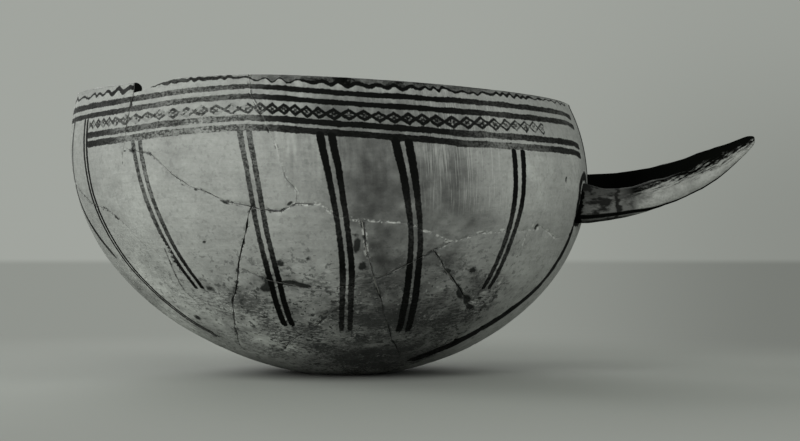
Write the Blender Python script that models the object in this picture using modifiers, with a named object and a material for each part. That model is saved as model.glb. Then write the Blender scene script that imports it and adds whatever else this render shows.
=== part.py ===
"""A hand-made round-bottomed bowl with a wishbone handle, broken long ago and mended from its sherds.

Metres, +Z up. The origin is the middle of the small flattened foot, and the handle points along +X.
A place on the wall is given as (bearing, climb) in degrees: bearing 0 faces the handle and -90 the
front, and climb runs up the wall from 0 at the middle of the foot to 90 at the girth.
"""

import math

import bmesh
import bpy
from mathutils import Vector
from mathutils.bvhtree import BVHTree

# Bowl
girth_radius = 0.095
girth_height = 0.0765
rim_height = 0.0990
foot_radius = 0.016
belly_power = 1.09
wall_thickness = 0.0045
rim_thickness = 0.0036
lip_rise = 0.8
floor_thickness = 0.0062
rim_shift_length = -0.0085
rim_tilt_height = 0.0020
rim_peak_height = 0.0023
rim_peak_bearing = -107.0
rim_peak_near = 18.0
rim_peak_far = 33.0

# Sherds
joint_gap = 0.0003
fill_width = 0.0016
blade_reach_length = 0.0030
past_rim_length = 0.0120
chip_bearing = -130.0
chip_length = 0.0150
chip_depth = 0.0019
chip_slope = 12.0
chip_block_height = 0.0200

# Handle
handle_span = 0.056
handle_reach_length = 0.0435
handle_tip_length = 0.0625
root_height = 0.0652
arm_thickness = 0.0084
arm_inside_length = 0.0160
arm_overrun = 0.25
arm_depth_root = 0.0126
arm_depth_middle = 0.0098
spur_depth = 0.0116
waist = 0.6
spur_thickness = 0.0104
tip_thickness = 0.0036
spur_power = 1.3
handle_tip_rise_height = 0.0203
handle_slope = 0.012
handle_roll = 0.10
seat_depth = 0.0020
seat_clearance = 0.0003
mend_distance = 0.0070
mend_block_height = 0.0600
mend_slant = 6.0
mend_aside = 0.6

around_steps = 60
outer_rings = 13
inner_rings = 9
arm_steps = 15
spur_steps = 9
sharp_angle = 35.0

# Where the filler in the wide join stops, short of the join's end
fill_end = (-98.8, 85.5)

# A point inside each sherd
sherds = {
    "rim_left": (-160, 98),
    "rim_front_left": (-118, 98),
    "rim_front": (-60, 95),
    "rim_back_right": (75, 96),
    "rim_back_left": (130, 98),
    "wall_left": (-127, 75),
    "wall_centre": (-95, 66),
    "wall_wedge": (-76, 69),
    "wall_low_left": (-160, 55),
    "wall_low_centre": (-100, 50),
    "wall_base_centre": (-92, 41),
    "wall_low_front": (-65, 50),
    "wall_low_right": (-52, 62),
    "wall_right": (-10, 50),
    "wall_low_back": (110, 55),
    "foot": (0, 12),
}

colours = {
    "slip": (0.50, 0.49, 0.46),
    "clay": (0.33, 0.31, 0.28),
    "filler": (0.66, 0.65, 0.61),
}


def material(name, roughness=0.8):
    made = bpy.data.materials.new(name)
    made.use_nodes = True
    shader = made.node_tree.nodes["Principled BSDF"]
    shader.inputs["Base Color"].default_value = (*colours[name], 1)
    shader.inputs["Roughness"].default_value = roughness
    shader.inputs["Metallic"].default_value = 0
    made.diffuse_color = (*colours[name], 1)
    return made


def collection(title, hidden=False):
    made = bpy.data.collections.new(title)
    made.hide_render = hidden
    bpy.context.scene.collection.children.link(made)
    return made


def as_cutter(obj):
    """Puts a helper with the cutters, drawn as a wire and left out of a render."""
    for home in list(obj.users_collection):
        home.objects.unlink(obj)
    cutters.objects.link(obj)
    obj.hide_render = True
    obj.display_type = "WIRE"
    return obj


def frozen(obj, title):
    """The object with its modifiers applied, as a new mesh object; the old one is removed."""
    bpy.context.view_layer.update()
    graph = bpy.context.evaluated_depsgraph_get()
    mesh = bpy.data.meshes.new_from_object(obj.evaluated_get(graph))
    mesh.transform(obj.matrix_world)
    bpy.data.objects.remove(obj)
    made = bpy.data.objects.new(title, mesh)
    bowl.objects.link(made)
    return made


def boolean(obj, other, operation):
    """Every cut uses the manifold solver: the exact one loses a sherd where many joins meet."""
    cut = obj.modifiers.new(other.name, "BOOLEAN")
    cut.operation = operation
    cut.object = other
    cut.solver = "MANIFOLD"


def foot_climb():
    return math.asin((foot_radius / girth_radius) ** (1 / belly_power))


def wall_depth():
    """Height of the half ellipse whose cut foot has foot_radius."""
    return girth_height / math.cos(foot_climb())


def rim_climb():
    return math.acos((girth_height - rim_height) / wall_depth())


def outer_point(climb):
    """(radius, height) of the outer face; climb in radians."""
    share = math.sin(climb)
    power = belly_power if climb < math.pi / 2 else 1.0
    return girth_radius * share**power, girth_height - wall_depth() * math.cos(climb)


def join_lines():
    """The joins between the sherds, as points on the outer face; those at the rim run past it."""
    past = math.degrees(rim_climb() + past_rim_length / girth_radius)
    return {
        "rim_chip": [(-134, past), (-134, 102), (-135, 97), (-136, 92), (-137, 88), (-142, 82), (-147, 77)],
        "upper_left": [(-136, 92), (-128, 90), (-123, 85), (-119, 82), (-111, 78.5), (-106.5, 77)],
        "crown": [(-106.5, 77), (-100, 76), (-97, 78), (-96.5, 80.5), (-98.5, 84)],
        "filled": [(-106, past), (-105, 108), (-104.5, 103), (-102, 98), (-99.5, 91), (-98.5, 84)],
        "middle": [(-97, 78), (-92, 78), (-89, 75), (-84, 74), (-75, 73.5), (-68, 70.5), (-64.5, 68.5)],
        "left_drop": [
            (-106.5, 77), (-109, 71), (-113, 62), (-116, 56), (-119, 52.5),
            (-125, 44), (-131, 38), (-137, 34), (-140, 31),
        ],
        "long": [
            (-113, 62), (-107, 58.5), (-99, 56), (-91, 56), (-82, 58), (-76, 61.5),
            (-70, 65), (-68, 66.5), (-64.5, 68.5), (-56, 71.5), (-43, 72), (-38, 73), (-30, 70), (-21, 71.5),
            (-6, 68), (14, 70), (32, 75), (41, 77), (52, 79), (72, 76), (88, 80),
        ],
        "centre_drop": [(-84, 74), (-83, 66), (-81.5, 59), (-79, 52), (-78, 48), (-73, 38), (-68, 33), (-63, 29)],
        "right_drop": [(-68, 66.5), (-64, 61.5), (-60, 57.5), (-54, 52), (-46, 51), (-44.5, 45), (-43, 37), (-40, 30)],
        "right_side": [(-43, 72), (-44, 66), (-45, 59), (-44, 56), (-46, 51)],
        "low_arc": [(-79, 52), (-91, 50), (-98, 43.5), (-110, 37), (-115, 33)],
        "left_side": [
            (-119, 52.5), (-130, 61), (-139, 68.5), (-141, 72.5), (-147, 77),
            (-155, 79), (-164, 83), (-178, 87), (-196, 84), (-212, 87), (-232, 83), (-250, 86), (-272, 80),
        ],
        "rim_back_left": [(162, past), (163, 104), (159, 95), (164, 84)],
        "rim_back": [(106, past), (104, 103), (108, 94), (110, 86)],
        "rim_far": [(42, past), (43, 104), (39, 96), (44, 87), (41, 77)],
        "low_back_right": [(72, 76), (66, 64), (70, 52), (60, 40), (62, 31)],
        "low_back_left": [(148, 87), (152, 74), (146, 60), (154, 46), (150, 32)],
        "foot_ring": [
            (-140, 31), (-128, 30), (-115, 33), (-101, 30), (-84, 31), (-63, 29), (-40, 30), (-16, 33),
            (10, 30), (36, 33), (62, 31), (88, 33), (112, 29), (132, 31), (150, 32), (174, 29), (196, 32), (220, 31),
        ],
    }


def thickness_at(climb):
    """The floor is thickest, and the wall thins towards the rim."""
    if climb < math.pi / 3:
        return floor_thickness + (wall_thickness - floor_thickness) * climb / (math.pi / 3)
    share = (climb - math.pi / 3) / (rim_climb() - math.pi / 3)
    return wall_thickness + (rim_thickness - wall_thickness) * min(share, 1.0)


def inner_point(climb):
    radius, height = outer_point(climb)
    thickness = thickness_at(climb)
    return max(radius - thickness * math.sin(climb), 0.0), height + thickness * math.cos(climb)


def warped(point):
    """A turned point leant back from the handle, with the rim's tilt and its peak at the front."""
    share = point.z / rim_height
    bearing = math.degrees(math.atan2(point.y, point.x))
    away = (bearing - rim_peak_bearing + 180) % 360 - 180
    spread = rim_peak_near if away < 0 else rim_peak_far
    rise = rim_peak_height * math.exp(-0.5 * (away / spread) ** 2)
    rise -= rim_tilt_height * math.cos(math.radians(bearing))
    lift = rise * max(share, 0.0) ** 3
    return Vector((point.x + rim_shift_length * share, point.y, point.z + lift))


def warp_mesh(obj):
    for vertex in obj.data.vertices:
        vertex.co = warped(vertex.co)


def on_wall(bearing, climb, out=0.0):
    """A point of the outer face, or that far outside it along its slope."""
    angle, turn = math.radians(climb), math.radians(bearing)
    radius, height = outer_point(angle)
    radius += out * math.sin(angle)
    height -= out * math.cos(angle)
    return warped(Vector((radius * math.cos(turn), radius * math.sin(turn), height)))


def turned(title, profile):
    """A closed form of revolution; the profile runs from the axis, down its outer side, to the axis."""
    mesh = bpy.data.meshes.new(title)
    points = [(radius, 0, height) for radius, height in profile]
    mesh.from_pydata(points, [(i, i + 1) for i in range(len(points) - 1)], [])
    made = bpy.data.objects.new(title, mesh)
    bowl.objects.link(made)
    screw = made.modifiers.new("turn", "SCREW")
    screw.steps = screw.render_steps = around_steps
    screw.use_merge_vertices = True
    screw.merge_threshold = 0.00001
    made = frozen(made, title)
    warp_mesh(made)
    return made


def steps_between(start, end, count):
    return [start + (end - start) * i / (count - 1) for i in range(count)]


def make_wall():
    top = rim_climb()
    inner = [inner_point(climb) for climb in steps_between(0.0, top, inner_rings)]
    outer = [outer_point(climb) for climb in steps_between(top, foot_climb(), outer_rings)]
    lip = 0.5 * rim_thickness
    lip_radius = 0.5 * (inner[-1][0] + outer[0][0])
    lip_height = 0.5 * (inner[-1][1] + outer[0][1])
    edge, crown = 0.5 * lip, lip_rise * lip
    over = [(lip_radius - edge, lip_height + crown), (lip_radius + edge, lip_height + crown)]
    return turned("wall", inner + over + outer + [(0.0, 0.0)])


def make_core(inset):
    """The solid form inside the outer face, that much smaller all over."""
    profile = []
    for climb in steps_between(rim_climb(), foot_climb(), outer_rings):
        radius, height = outer_point(climb)
        profile.append((radius - inset * math.sin(climb), height + inset * math.cos(climb)))
    return as_cutter(turned("core", [(0.0, profile[0][1]), *profile, (0.0, profile[-1][1])]))


def make_blade(title, points, width, closed=False):
    """A curtain through the wall along a join, as wide as the gap that it leaves."""
    inside = -(floor_thickness + blade_reach_length)
    rows = [on_wall(b, c, blade_reach_length) for b, c in points] + [on_wall(b, c, inside) for b, c in points]
    count = len(points)
    spans = count if closed else count - 1
    faces = [(i, (i + 1) % count, count + (i + 1) % count, count + i) for i in range(spans)]
    mesh = bpy.data.meshes.new(title)
    mesh.from_pydata(rows, [], faces)
    made = bpy.data.objects.new(title, mesh)
    bowl.objects.link(made)
    solid = made.modifiers.new("width", "SOLIDIFY")
    solid.thickness = width
    solid.offset = 0
    solid.use_even_offset = True
    return as_cutter(made)


def make_chip():
    """The flake missing from the rim beside a join: a block whose lower face is the break."""
    bpy.ops.mesh.primitive_cube_add(size=1)
    made = bpy.context.object
    made.name = "chip"
    made.dimensions = (chip_block_height, chip_length, chip_block_height)
    made.rotation_euler = (math.radians(chip_slope), 0, math.radians(chip_bearing))
    top = on_wall(chip_bearing, math.degrees(rim_climb()))
    made.location = top + Vector((0, 0, 0.5 * chip_block_height - chip_depth))
    return as_cutter(made)


def handle_rise(x):
    """Height of the handle's middle line at x: a slight slope that curls up to the point."""
    away = (x - root_x()) / handle_tip_length
    straight = handle_slope * handle_tip_length
    return root_height + straight * away + (handle_tip_rise_height - straight) * away * away


def root_x():
    """Where the handle's axis would meet the outer face."""
    climb = math.acos((girth_height - root_height) / wall_depth())
    return on_wall(0, math.degrees(climb)).x


def tube(title, points, thick):
    """A closed tube of the given radii along a flat line at height 0."""
    data = bpy.data.curves.new(title, "CURVE")
    data.dimensions = "3D"
    data.bevel_depth = 1.0
    data.bevel_resolution = 2
    data.use_fill_caps = True
    spline = data.splines.new("POLY")
    spline.points.add(len(points) - 1)
    for control, (x, y), radius in zip(spline.points, points, thick):
        control.co = (x, y, 0, 1)
        control.radius = radius
    made = bpy.data.objects.new(title, data)
    bowl.objects.link(made)
    made = frozen(made, title)
    welded = bmesh.new()
    welded.from_mesh(made.data)
    bmesh.ops.remove_doubles(welded, verts=welded.verts, dist=0.000001)
    welded.to_mesh(made.data)
    welded.free()
    return made


def arm_line(side):
    """One arm's line in plan: straight through the wall, then a parabola to where the arms meet."""
    start = root_x() - arm_inside_length
    end = root_x() + handle_reach_length
    half = 0.5 * handle_span
    points = []
    for x in steps_between(start, end + arm_overrun * arm_thickness, arm_steps):
        share = max((x - root_x()) / handle_reach_length, 0.0)
        points.append((x, side * half * (1 - share * share)))
    return points


def arm_depth(x):
    """Half the handle's height for each unit of its half thickness: deep at the root and at the point."""
    share = (x - root_x()) / handle_reach_length
    if share < waist:
        depth = arm_depth_root + (arm_depth_middle - arm_depth_root) * max(share / waist, 0.0)
    else:
        depth = arm_depth_middle + (spur_depth - arm_depth_middle) * min((share - waist) / (1 - waist), 1.0)
    return depth / arm_thickness


def spur_line():
    """The line of the point in which the arms end, and its half thickness along it."""
    back, tip = root_x() + handle_reach_length - 0.5 * arm_thickness, root_x() + handle_tip_length
    wide, narrow = 0.5 * spur_thickness, 0.5 * tip_thickness
    shares = steps_between(0.0, 1.0, spur_steps)
    line = [(back + (tip - back) * share, 0.0) for share in shares]
    return line, [wide + (narrow - wide) * share**spur_power for share in shares]


def make_handle(title, grow=0.0):
    """The wishbone, raised, rolled and flattened; grow makes it larger all over for a clearance."""
    near, far = arm_line(-1), arm_line(1)
    half = 0.5 * arm_thickness + grow
    made = tube(title + "_near", near, [half] * len(near))
    line, thick = spur_line()
    others = [
        tube(title + "_far", far, [half] * len(far)),
        tube(title + "_spur", line, [each + grow for each in thick]),
    ]
    for other in others:
        boolean(made, as_cutter(other), "UNION")
    made = frozen(made, title)
    for other in others:
        bpy.data.objects.remove(other)
    for vertex in made.data.vertices:
        x, y, z = vertex.co
        vertex.co = (x, y, z * arm_depth(x) + handle_rise(x) + handle_roll * y)
    return made


def make_mend_blade():
    """The slab that parts the near arm at its mended break."""
    bpy.ops.mesh.primitive_cube_add(size=1)
    made = bpy.context.object
    made.name = "mend"
    made.dimensions = (joint_gap, handle_span, mend_block_height)
    made.rotation_euler = (0, math.radians(mend_slant), -math.radians(mend_slant))
    made.location = (root_x() + mend_distance, -mend_aside * handle_span, root_height)
    return as_cutter(made)


def pieces_of(obj):
    """The separate bodies of a mesh object, each as its own object; the whole is removed."""
    whole = bmesh.new()
    whole.from_mesh(obj.data)
    whole.verts.ensure_lookup_table()
    left = set(whole.verts)
    found = []
    while left:
        group, front = set(), [left.pop()]
        while front:
            vertex = front.pop()
            group.add(vertex)
            for edge in vertex.link_edges:
                other = edge.other_vert(vertex)
                if other in left:
                    left.remove(other)
                    front.append(other)
        index = {vertex: i for i, vertex in enumerate(sorted(group, key=lambda v: v.index))}
        faces = [[index[v] for v in face.verts] for face in whole.faces if face.verts[0] in group]
        mesh = bpy.data.meshes.new(obj.name)
        mesh.from_pydata([vertex.co.copy() for vertex in index], [], faces)
        made = bpy.data.objects.new(obj.name, mesh)
        bowl.objects.link(made)
        found.append(made)
    whole.free()
    bpy.data.objects.remove(obj)
    return found


def name_pieces(found, places):
    """Gives each body the name of the point that lies on it."""
    trees = [(piece, BVHTree.FromPolygons([v.co for v in piece.data.vertices],
                                          [list(p.vertices) for p in piece.data.polygons]))
             for piece in found]
    for title, place in places.items():
        nearest = min(trees, key=lambda pair: pair[1].find_nearest(place)[3])
        nearest[0].name = title


def finish(obj, finish_material):
    obj.data.materials.clear()
    obj.data.materials.append(finish_material)
    obj.data.shade_smooth()
    obj.data.set_sharp_from_angle(angle=math.radians(sharp_angle))


def make_sherds():
    wall = make_wall()
    boolean(wall, make_chip(), "DIFFERENCE")
    core = make_core(seat_depth + seat_clearance)
    socket = make_handle("socket", seat_clearance)
    boolean(socket, core, "DIFFERENCE")
    boolean(wall, as_cutter(socket), "DIFFERENCE")
    for title, points in join_lines().items():
        width = fill_width + 2 * joint_gap if title == "filled" else joint_gap
        blade = make_blade("join_" + title, points, width, closed=title == "foot_ring")
        boolean(wall, blade, "DIFFERENCE")
    found = pieces_of(frozen(wall, "wall"))
    name_pieces(found, {title: on_wall(*place) for title, place in sherds.items()})
    for piece in found:
        finish(piece, slip)


def make_fill():
    """The pale filler set in the wide join below the rim."""
    fill = make_wall()
    short = join_lines()["filled"][:-1] + [fill_end]
    boolean(fill, make_blade("fill_shape", short, fill_width), "INTERSECT")
    fill = frozen(fill, "joint_filler")
    finish(fill, filler)


def make_handle_pieces():
    handle = make_handle("handle")
    boolean(handle, make_core(seat_depth), "DIFFERENCE")
    boolean(handle, make_mend_blade(), "DIFFERENCE")
    found = pieces_of(frozen(handle, "handle"))
    near = Vector((root_x(), -0.5 * handle_span, root_height))
    tip = Vector((root_x() + handle_tip_length, 0, root_height))
    name_pieces(found, {"handle_near_root": near, "handle": tip})
    for piece in found:
        finish(piece, clay)


for old in list(bpy.data.objects):
    bpy.data.objects.remove(old)
bowl = collection("handled_bowl")
cutters = collection("cutters", hidden=True)
slip, clay, filler = material("slip"), material("clay", 0.85), material("filler", 0.9)

make_sherds()
make_fill()
make_handle_pieces()
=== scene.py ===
import math

import bpy
import numpy as np
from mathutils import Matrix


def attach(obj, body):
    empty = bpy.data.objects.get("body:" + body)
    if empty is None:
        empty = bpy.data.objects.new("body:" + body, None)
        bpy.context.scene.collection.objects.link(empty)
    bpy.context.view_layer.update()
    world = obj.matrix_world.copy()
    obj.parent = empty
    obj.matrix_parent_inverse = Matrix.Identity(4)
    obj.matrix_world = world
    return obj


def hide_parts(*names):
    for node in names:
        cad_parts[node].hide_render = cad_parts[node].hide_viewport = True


# A round-bottomed bowl with a wishbone handle, mended from its sherds.
# Shapes are worked out in millimetres and degrees, and put into the meshes in metres. A place on the
# wall is (bearing, climb): bearing 0 faces the handle, -90 the front; climb 0 is the foot, 90 the girth.

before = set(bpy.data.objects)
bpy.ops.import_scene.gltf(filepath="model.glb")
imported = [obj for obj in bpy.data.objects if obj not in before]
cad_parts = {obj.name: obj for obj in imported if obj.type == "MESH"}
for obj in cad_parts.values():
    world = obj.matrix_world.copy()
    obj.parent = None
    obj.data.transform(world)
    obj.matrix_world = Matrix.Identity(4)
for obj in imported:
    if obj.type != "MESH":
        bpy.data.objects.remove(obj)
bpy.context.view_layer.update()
scene = bpy.context.scene

# Camera, light and table

photoView = {
    "distance": 700.0, "eyeHeight": 49.06, "focalPixels": 1883.46, "width": 800, "across": 53.0, "up": 19.5,
}
lights = {
    "key": {"place": (-0.8, -1.2, 0.4), "size": 0.6, "watts": 18.0},
    "front": {"place": (0.0, -1.6, 0.9), "size": 0.8, "watts": 5.2},
    "right": {"place": (1.2, -0.5, 0.4), "size": 0.5, "watts": 6.2},
    "leftBehind": {"place": (-1.2, 0.4, 0.5), "size": 0.6, "watts": 7.6},
    "behind": {"place": (-0.3, 1.2, 0.6), "size": 0.8, "watts": 8.6},
}
# The backdrop's low tone and the table's right tone are darker: painted shade
room = {
    "air": (0.97, 1.0, 0.95), "airStrength": 0.33,
    "backdrop": (0.358, 0.375, 0.345), "backdropShadedLow": (0.255, 0.268, 0.245),
    "table": (0.256, 0.270, 0.246), "tableLeft": (0.277, 0.291, 0.266), "tableShadedRight": (0.185, 0.195, 0.177),
    "depth": 3.0, "side": 4.0, "near": 3.0, "height": 2.6, "cove": 0.03,
}


def makeCamera():
    data = bpy.data.cameras.new("photoCamera")
    camera = bpy.data.objects.new("photoCamera", data)
    scene.collection.objects.link(camera)
    data.sensor_fit = "HORIZONTAL"
    data.sensor_width = 36.0
    data.lens = photoView["focalPixels"] / photoView["width"] * data.sensor_width
    data.shift_x = photoView["across"] / photoView["width"]
    data.shift_y = photoView["up"] / photoView["width"]
    data.clip_start, data.clip_end = 0.05, 30.0
    camera.location = (0, -photoView["distance"] / 1000, photoView["eyeHeight"] / 1000)
    camera.rotation_euler = (math.radians(90), 0, 0)
    scene.camera = camera


def makeLights():
    for name, lamp in lights.items():
        data = bpy.data.lights.new(name, "AREA")
        data.energy = lamp["watts"]
        data.shape = "DISK"
        data.size = lamp["size"]
        light = bpy.data.objects.new(name, data)
        scene.collection.objects.link(light)
        light.location = lamp["place"]
        aim = -light.location
        aim.z += 0.05
        light.rotation_euler = aim.to_track_quat("-Z", "Y").to_euler()
        light.visible_camera = False
    scene.view_settings.view_transform = "Standard"
    scene.world = bpy.data.worlds.new("air")
    scene.world.use_nodes = True
    nodes, links = scene.world.node_tree.nodes, scene.world.node_tree.links
    air = nodes["Background"]
    air.inputs["Color"].default_value = (*room["air"], 1)
    air.inputs["Strength"].default_value = room["airStrength"]
    seen = nodes.new("ShaderNodeBackground")
    seen.inputs["Color"].default_value = (*room["backdrop"], 1)
    path, pick = nodes.new("ShaderNodeLightPath"), nodes.new("ShaderNodeMixShader")
    either = nodes.new("ShaderNodeMath")
    either.operation = "MAXIMUM"
    links.new(path.outputs["Is Camera Ray"], either.inputs[0])
    links.new(path.outputs["Is Transmission Ray"], either.inputs[1])
    links.new(either.outputs[0], pick.inputs[0])
    links.new(air.outputs[0], pick.inputs[1])
    links.new(seen.outputs[0], pick.inputs[2])
    links.new(pick.outputs[0], nodes["World Output"].inputs["Surface"])


# Noise and mesh helpers


# Smooth noise from -1 to 1: random values at the corners of a cubic lattice, blended by 3t^2 - 2t^3.
def noise(points, size, seed):
    cell = np.asarray(points, float) / size
    low = np.floor(cell).astype(np.int64)
    part = cell - low
    part = part * part * (3 - 2 * part)
    total = np.zeros(cell.shape[:-1])
    for corner in range(8):
        step = np.array([corner & 1, corner >> 1 & 1, corner >> 2])
        at = low + step
        mixed = at[..., 0] * 73856093 ^ at[..., 1] * 19349663 ^ at[..., 2] * 83492791 ^ seed * 265443576
        mixed = (mixed & 0xFFFFFFFF) * 1274126177 & 0xFFFFFFFF
        mixed = ((mixed ^ (mixed >> 15)) * 668265263) & 0xFFFFFFFF
        value = ((mixed >> 9) & 0xFFFF) / 32767.5 - 1
        total += value * np.prod(np.where(step == 1, part, 1 - part), axis=-1)
    return total


# 0 below low, 1 above high, and 3t^2 - 2t^3 between them.
def smooth(value, low, high):
    part = np.clip((value - low) / (high - low), 0, 1)
    return part * part * (3 - 2 * part)


# Columns of a table of rows that start with a bearing, read by straight lines between the rows.
def readTable(rows, bearing):
    table = np.array(rows, float)
    return [np.interp(bearing, table[:, 0], table[:, column]) for column in range(1, table.shape[1])]


# One closed mesh with its attributes and finish, in the place of a node of the frame.
def makePiece(node, kind, points, faces, attributes, material, sharp):
    first, *rest = node.split("_")
    name = first + "".join(word.capitalize() for word in rest) + kind
    mesh = bpy.data.meshes.new(name)
    mesh.from_pydata((points / 1000).tolist(), [], faces)
    for title, values in attributes.items():
        layer = mesh.attributes.new(title, "FLOAT_VECTOR", "POINT")
        layer.data.foreach_set("vector", np.asarray(values, np.float32).ravel())
    mesh.materials.append(material)
    mesh.shade_smooth()
    mesh.set_sharp_from_angle(angle=math.radians(sharp))
    piece = bpy.data.objects.new(name, mesh)
    scene.collection.objects.link(piece)
    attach(piece, "root")
    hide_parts(node)
    return piece


# The wall's form

bowl = {
    "girthRadius": 95.0, "girthHeight": 76.5, "rimHeight": 99.0, "footRadius": 16.0, "bellyPower": 1.09,
    "wallThickness": 4.5, "rimThickness": 3.6, "floorThickness": 6.2, "lipRise": 1.44, "lipPower": 0.7,
    "lean": -8.5, "rimTilt": 2.0, "rimPeak": 2.3, "peakBearing": -107.0, "peakNear": 18.0, "peakFar": 33.0,
    "creaseBearing": -101.0, "creaseSpread": 13.0, "creaseHeight": 0.9,
    "swell": 0.3, "swellSize": 34.0, "ripple": 0.09, "rippleSize": 9.0,
}
footClimb = math.asin((bowl["footRadius"] / bowl["girthRadius"]) ** (1 / bowl["bellyPower"]))
wallDepth = bowl["girthHeight"] / math.cos(footClimb)
rimClimb = math.degrees(math.acos((bowl["girthHeight"] - bowl["rimHeight"]) / wallDepth))


# A turned wall: radius = girth radius * sin(climb)^power below the girth, height = girth height - depth *
# cos(climb), moved out along the sphere's normal, leant with height, and lifted towards the rim, as the cube
# of the height's share, by a bell curve of bearing less a tilt that goes with the bearing's cosine.
def wallPoint(bearing, climb, out=0.0):
    turn, angle = np.radians(bearing), np.radians(climb)
    sine = np.sin(angle)
    radius = bowl["girthRadius"] * np.where(angle < math.pi / 2, np.abs(sine) ** bowl["bellyPower"], sine)
    height = bowl["girthHeight"] - wallDepth * np.cos(angle)
    radius = np.maximum(radius + out * sine, 0)
    height = height - out * np.cos(angle)
    share = height / bowl["rimHeight"]
    away = (bearing - bowl["peakBearing"] + 180) % 360 - 180
    spread = np.where(away < 0, bowl["peakNear"], bowl["peakFar"])
    rise = bowl["rimPeak"] * np.exp(-0.5 * (away / spread) ** 2) - bowl["rimTilt"] * np.cos(turn)
    lift = rise * np.maximum(share, 0) ** 3
    return np.stack([radius * np.cos(turn) + bowl["lean"] * share, radius * np.sin(turn), height + lift],
                    axis=-1)


# Thickness by straight lines between the floor's at climb 0, the wall's at 60 and the rim's at the top.
def thickness(climb):
    return np.interp(climb, [0, 60, rimClimb],
                     [bowl["floorThickness"], bowl["wallThickness"], bowl["rimThickness"]])


# How far the hand-made face stands off the turned form: two noises, and a crease that falls off as
# exp(-distance) on both sides of its bearing.
def unevenness(bearing, climb, place):
    off = (bowl["swell"] * noise(place, bowl["swellSize"], 3)
           + bowl["ripple"] * noise(place, bowl["rippleSize"], 4))
    away = np.abs((bearing - bowl["creaseBearing"] + 180) % 360 - 180)
    return off + bowl["creaseHeight"] * np.exp(-away / bowl["creaseSpread"]) * smooth(climb, 70, 98)


# The joins

cross = (-81.3, 58.4)
joins = {
    "rimChip": [(-134, 102), (-135, 97), (-136, 92), (-137, 88)],
    "chipLow": [(-137, 88), (-142, 82), (-147, 77)],
    "upperLeft": [(-136, 92), (-128, 90), (-123, 85), (-119, 82), (-111, 78.5), (-106.5, 77)],
    "crown": [(-106.5, 77), (-100, 76), (-97, 78)], "crownRise": [(-97, 78), (-96.5, 80.5), (-98.5, 84)],
    "filled": [(-104.5, 103), (-102, 98), (-99.5, 91), (-98.5, 84)],
    "middle": [(-97, 78), (-92, 78), (-89, 75), (-84, 74), (-75, 73.5), (-68, 70.5), (-64.5, 68.5)],
    "leftDrop": [(-106.5, 77), (-109, 71), (-113, 62), (-116, 56), (-119, 52.5), (-125, 44), (-131, 38),
                 (-137, 34), (-140, 31)],
    "long": [(-113, 62), (-107, 58.5), (-99, 56), (-91, 56), (-82, 58), cross, (-76, 61.5), (-70, 65),
             (-68, 66.5), (-64.5, 68.5), (-56, 71.5), (-43, 72), (-38, 73), (-30, 70), (-21, 71.5), (-6, 68),
             (14, 70), (32, 75), (41, 77), (52, 79), (72, 76), (88, 80)],
    "centreDrop": [(-84, 74), (-83, 66), (-81.5, 59), cross, (-79, 52), (-78, 48), (-73, 38), (-68, 33),
                   (-63, 29)],
    "rightDrop": [(-68, 66.5), (-64, 61.5), (-60, 57.5), (-54, 52), (-46, 51), (-44.5, 45), (-43, 37),
                  (-40, 30)],
    "rightSide": [(-43, 72), (-44, 66), (-45, 59), (-44, 56), (-46, 51)],
    "lowArc": [(-79, 52), (-91, 50), (-98, 43.5), (-110, 37), (-115, 33)],
    "leftSide": [(-119, 52.5), (-130, 61), (-139, 68.5), (-141, 72.5), (-147, 77), (-155, 79), (-164, 83),
                 (-178, 87), (-196, 84), (-212, 87), (-232, 83), (-250, 86), (-272, 80)],
    "rimBackLeft": [(163, 104), (159, 95), (164, 84)],
    "rimBack": [(104, 103), (108, 94), (110, 86)],
    "rimFar": [(43, 104), (39, 96), (44, 87), (41, 77)],
    "lowBackRight": [(72, 76), (66, 64), (70, 52), (60, 40), (62, 31)],
    "lowBackLeft": [(148, 87), (152, 74), (146, 60), (154, 46), (150, 32)],
    "footRing": [(-210, 32), (-186, 29), (-164, 32), (-140, 31), (-128, 30), (-115, 33), (-101, 30),
                 (-84, 31), (-63, 29), (-40, 30), (-16, 33), (10, 30), (36, 33), (62, 31), (88, 33),
                 (112, 29), (132, 31), (150, 32)],
}
# Half the gap left at each join and how deeply its edges are worn, by bearing
joinEdges = {
    "rimChip": [(-137, 0.05, 0.05), (-136, 0.10, 0.06), (-135, 0.20, 0.10), (-134, 0.26, 0.10)],
    "chipLow": [(0, 0.02, 0.03)],
    "upperLeft": [(-136, 0.11, 0.08), (-124, 0.12, 0.06), (-118, 0.22, 0.18), (-113, 0.14, 0.10),
                  (-107, 0.26, 0.22)],
    "crown": [(-106.5, 0.24, 0.18), (-103, 0.22, 0.30), (-99, 0.46, 0.45), (-97, 0.28, 0.30)],
    "crownRise": [(0, 0.06, 0.12)],
    "filled": [(0, 0.20, 0.10)], "middle": [(0, 0.03, 0.16)],
    "leftDrop": [(-140, 0.22, 0.12), (-119, 0.32, 0.16), (-106.5, 0.34, 0.18)],
    "long": [(-113, 0.20, 0.08), (-92, 0.18, 0.08), (-80, 0.24, 0.14), (-69, 0.16, 0.12), (-64, 0.03, 0.25),
             (-30, 0.03, 0.2), (-6, 0.04, 0.1), (20, 0.12, 0.2)],
    "centreDrop": [(-84, 0.24, 0.2), (-81.5, 0.30, 0.16), (-78, 0.12, 0.12), (-72, 0.22, 0.12),
                   (-63, 0.16, 0.12)],
    "rightDrop": [(-68, 0.16, 0.2), (-60, 0.28, 0.45), (-54, 0.20, 0.55), (-46, 0.10, 0.5), (-40, 0.04, 0.2)],
    "rightSide": [(0, 0.07, 0.12)], "lowArc": [(0, 0.26, 0.08)], "footRing": [(0, 0.04, 0.08)],
    "leftSide": [(-160, 0.10, 0.1), (-147, 0.15, 0.10), (-139, 0.06, 0.10), (-130, 0.02, 0.06),
                 (-119, 0.03, 0.10)],
}
otherEdge = [(0, 0.12, 0.2)]
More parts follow.
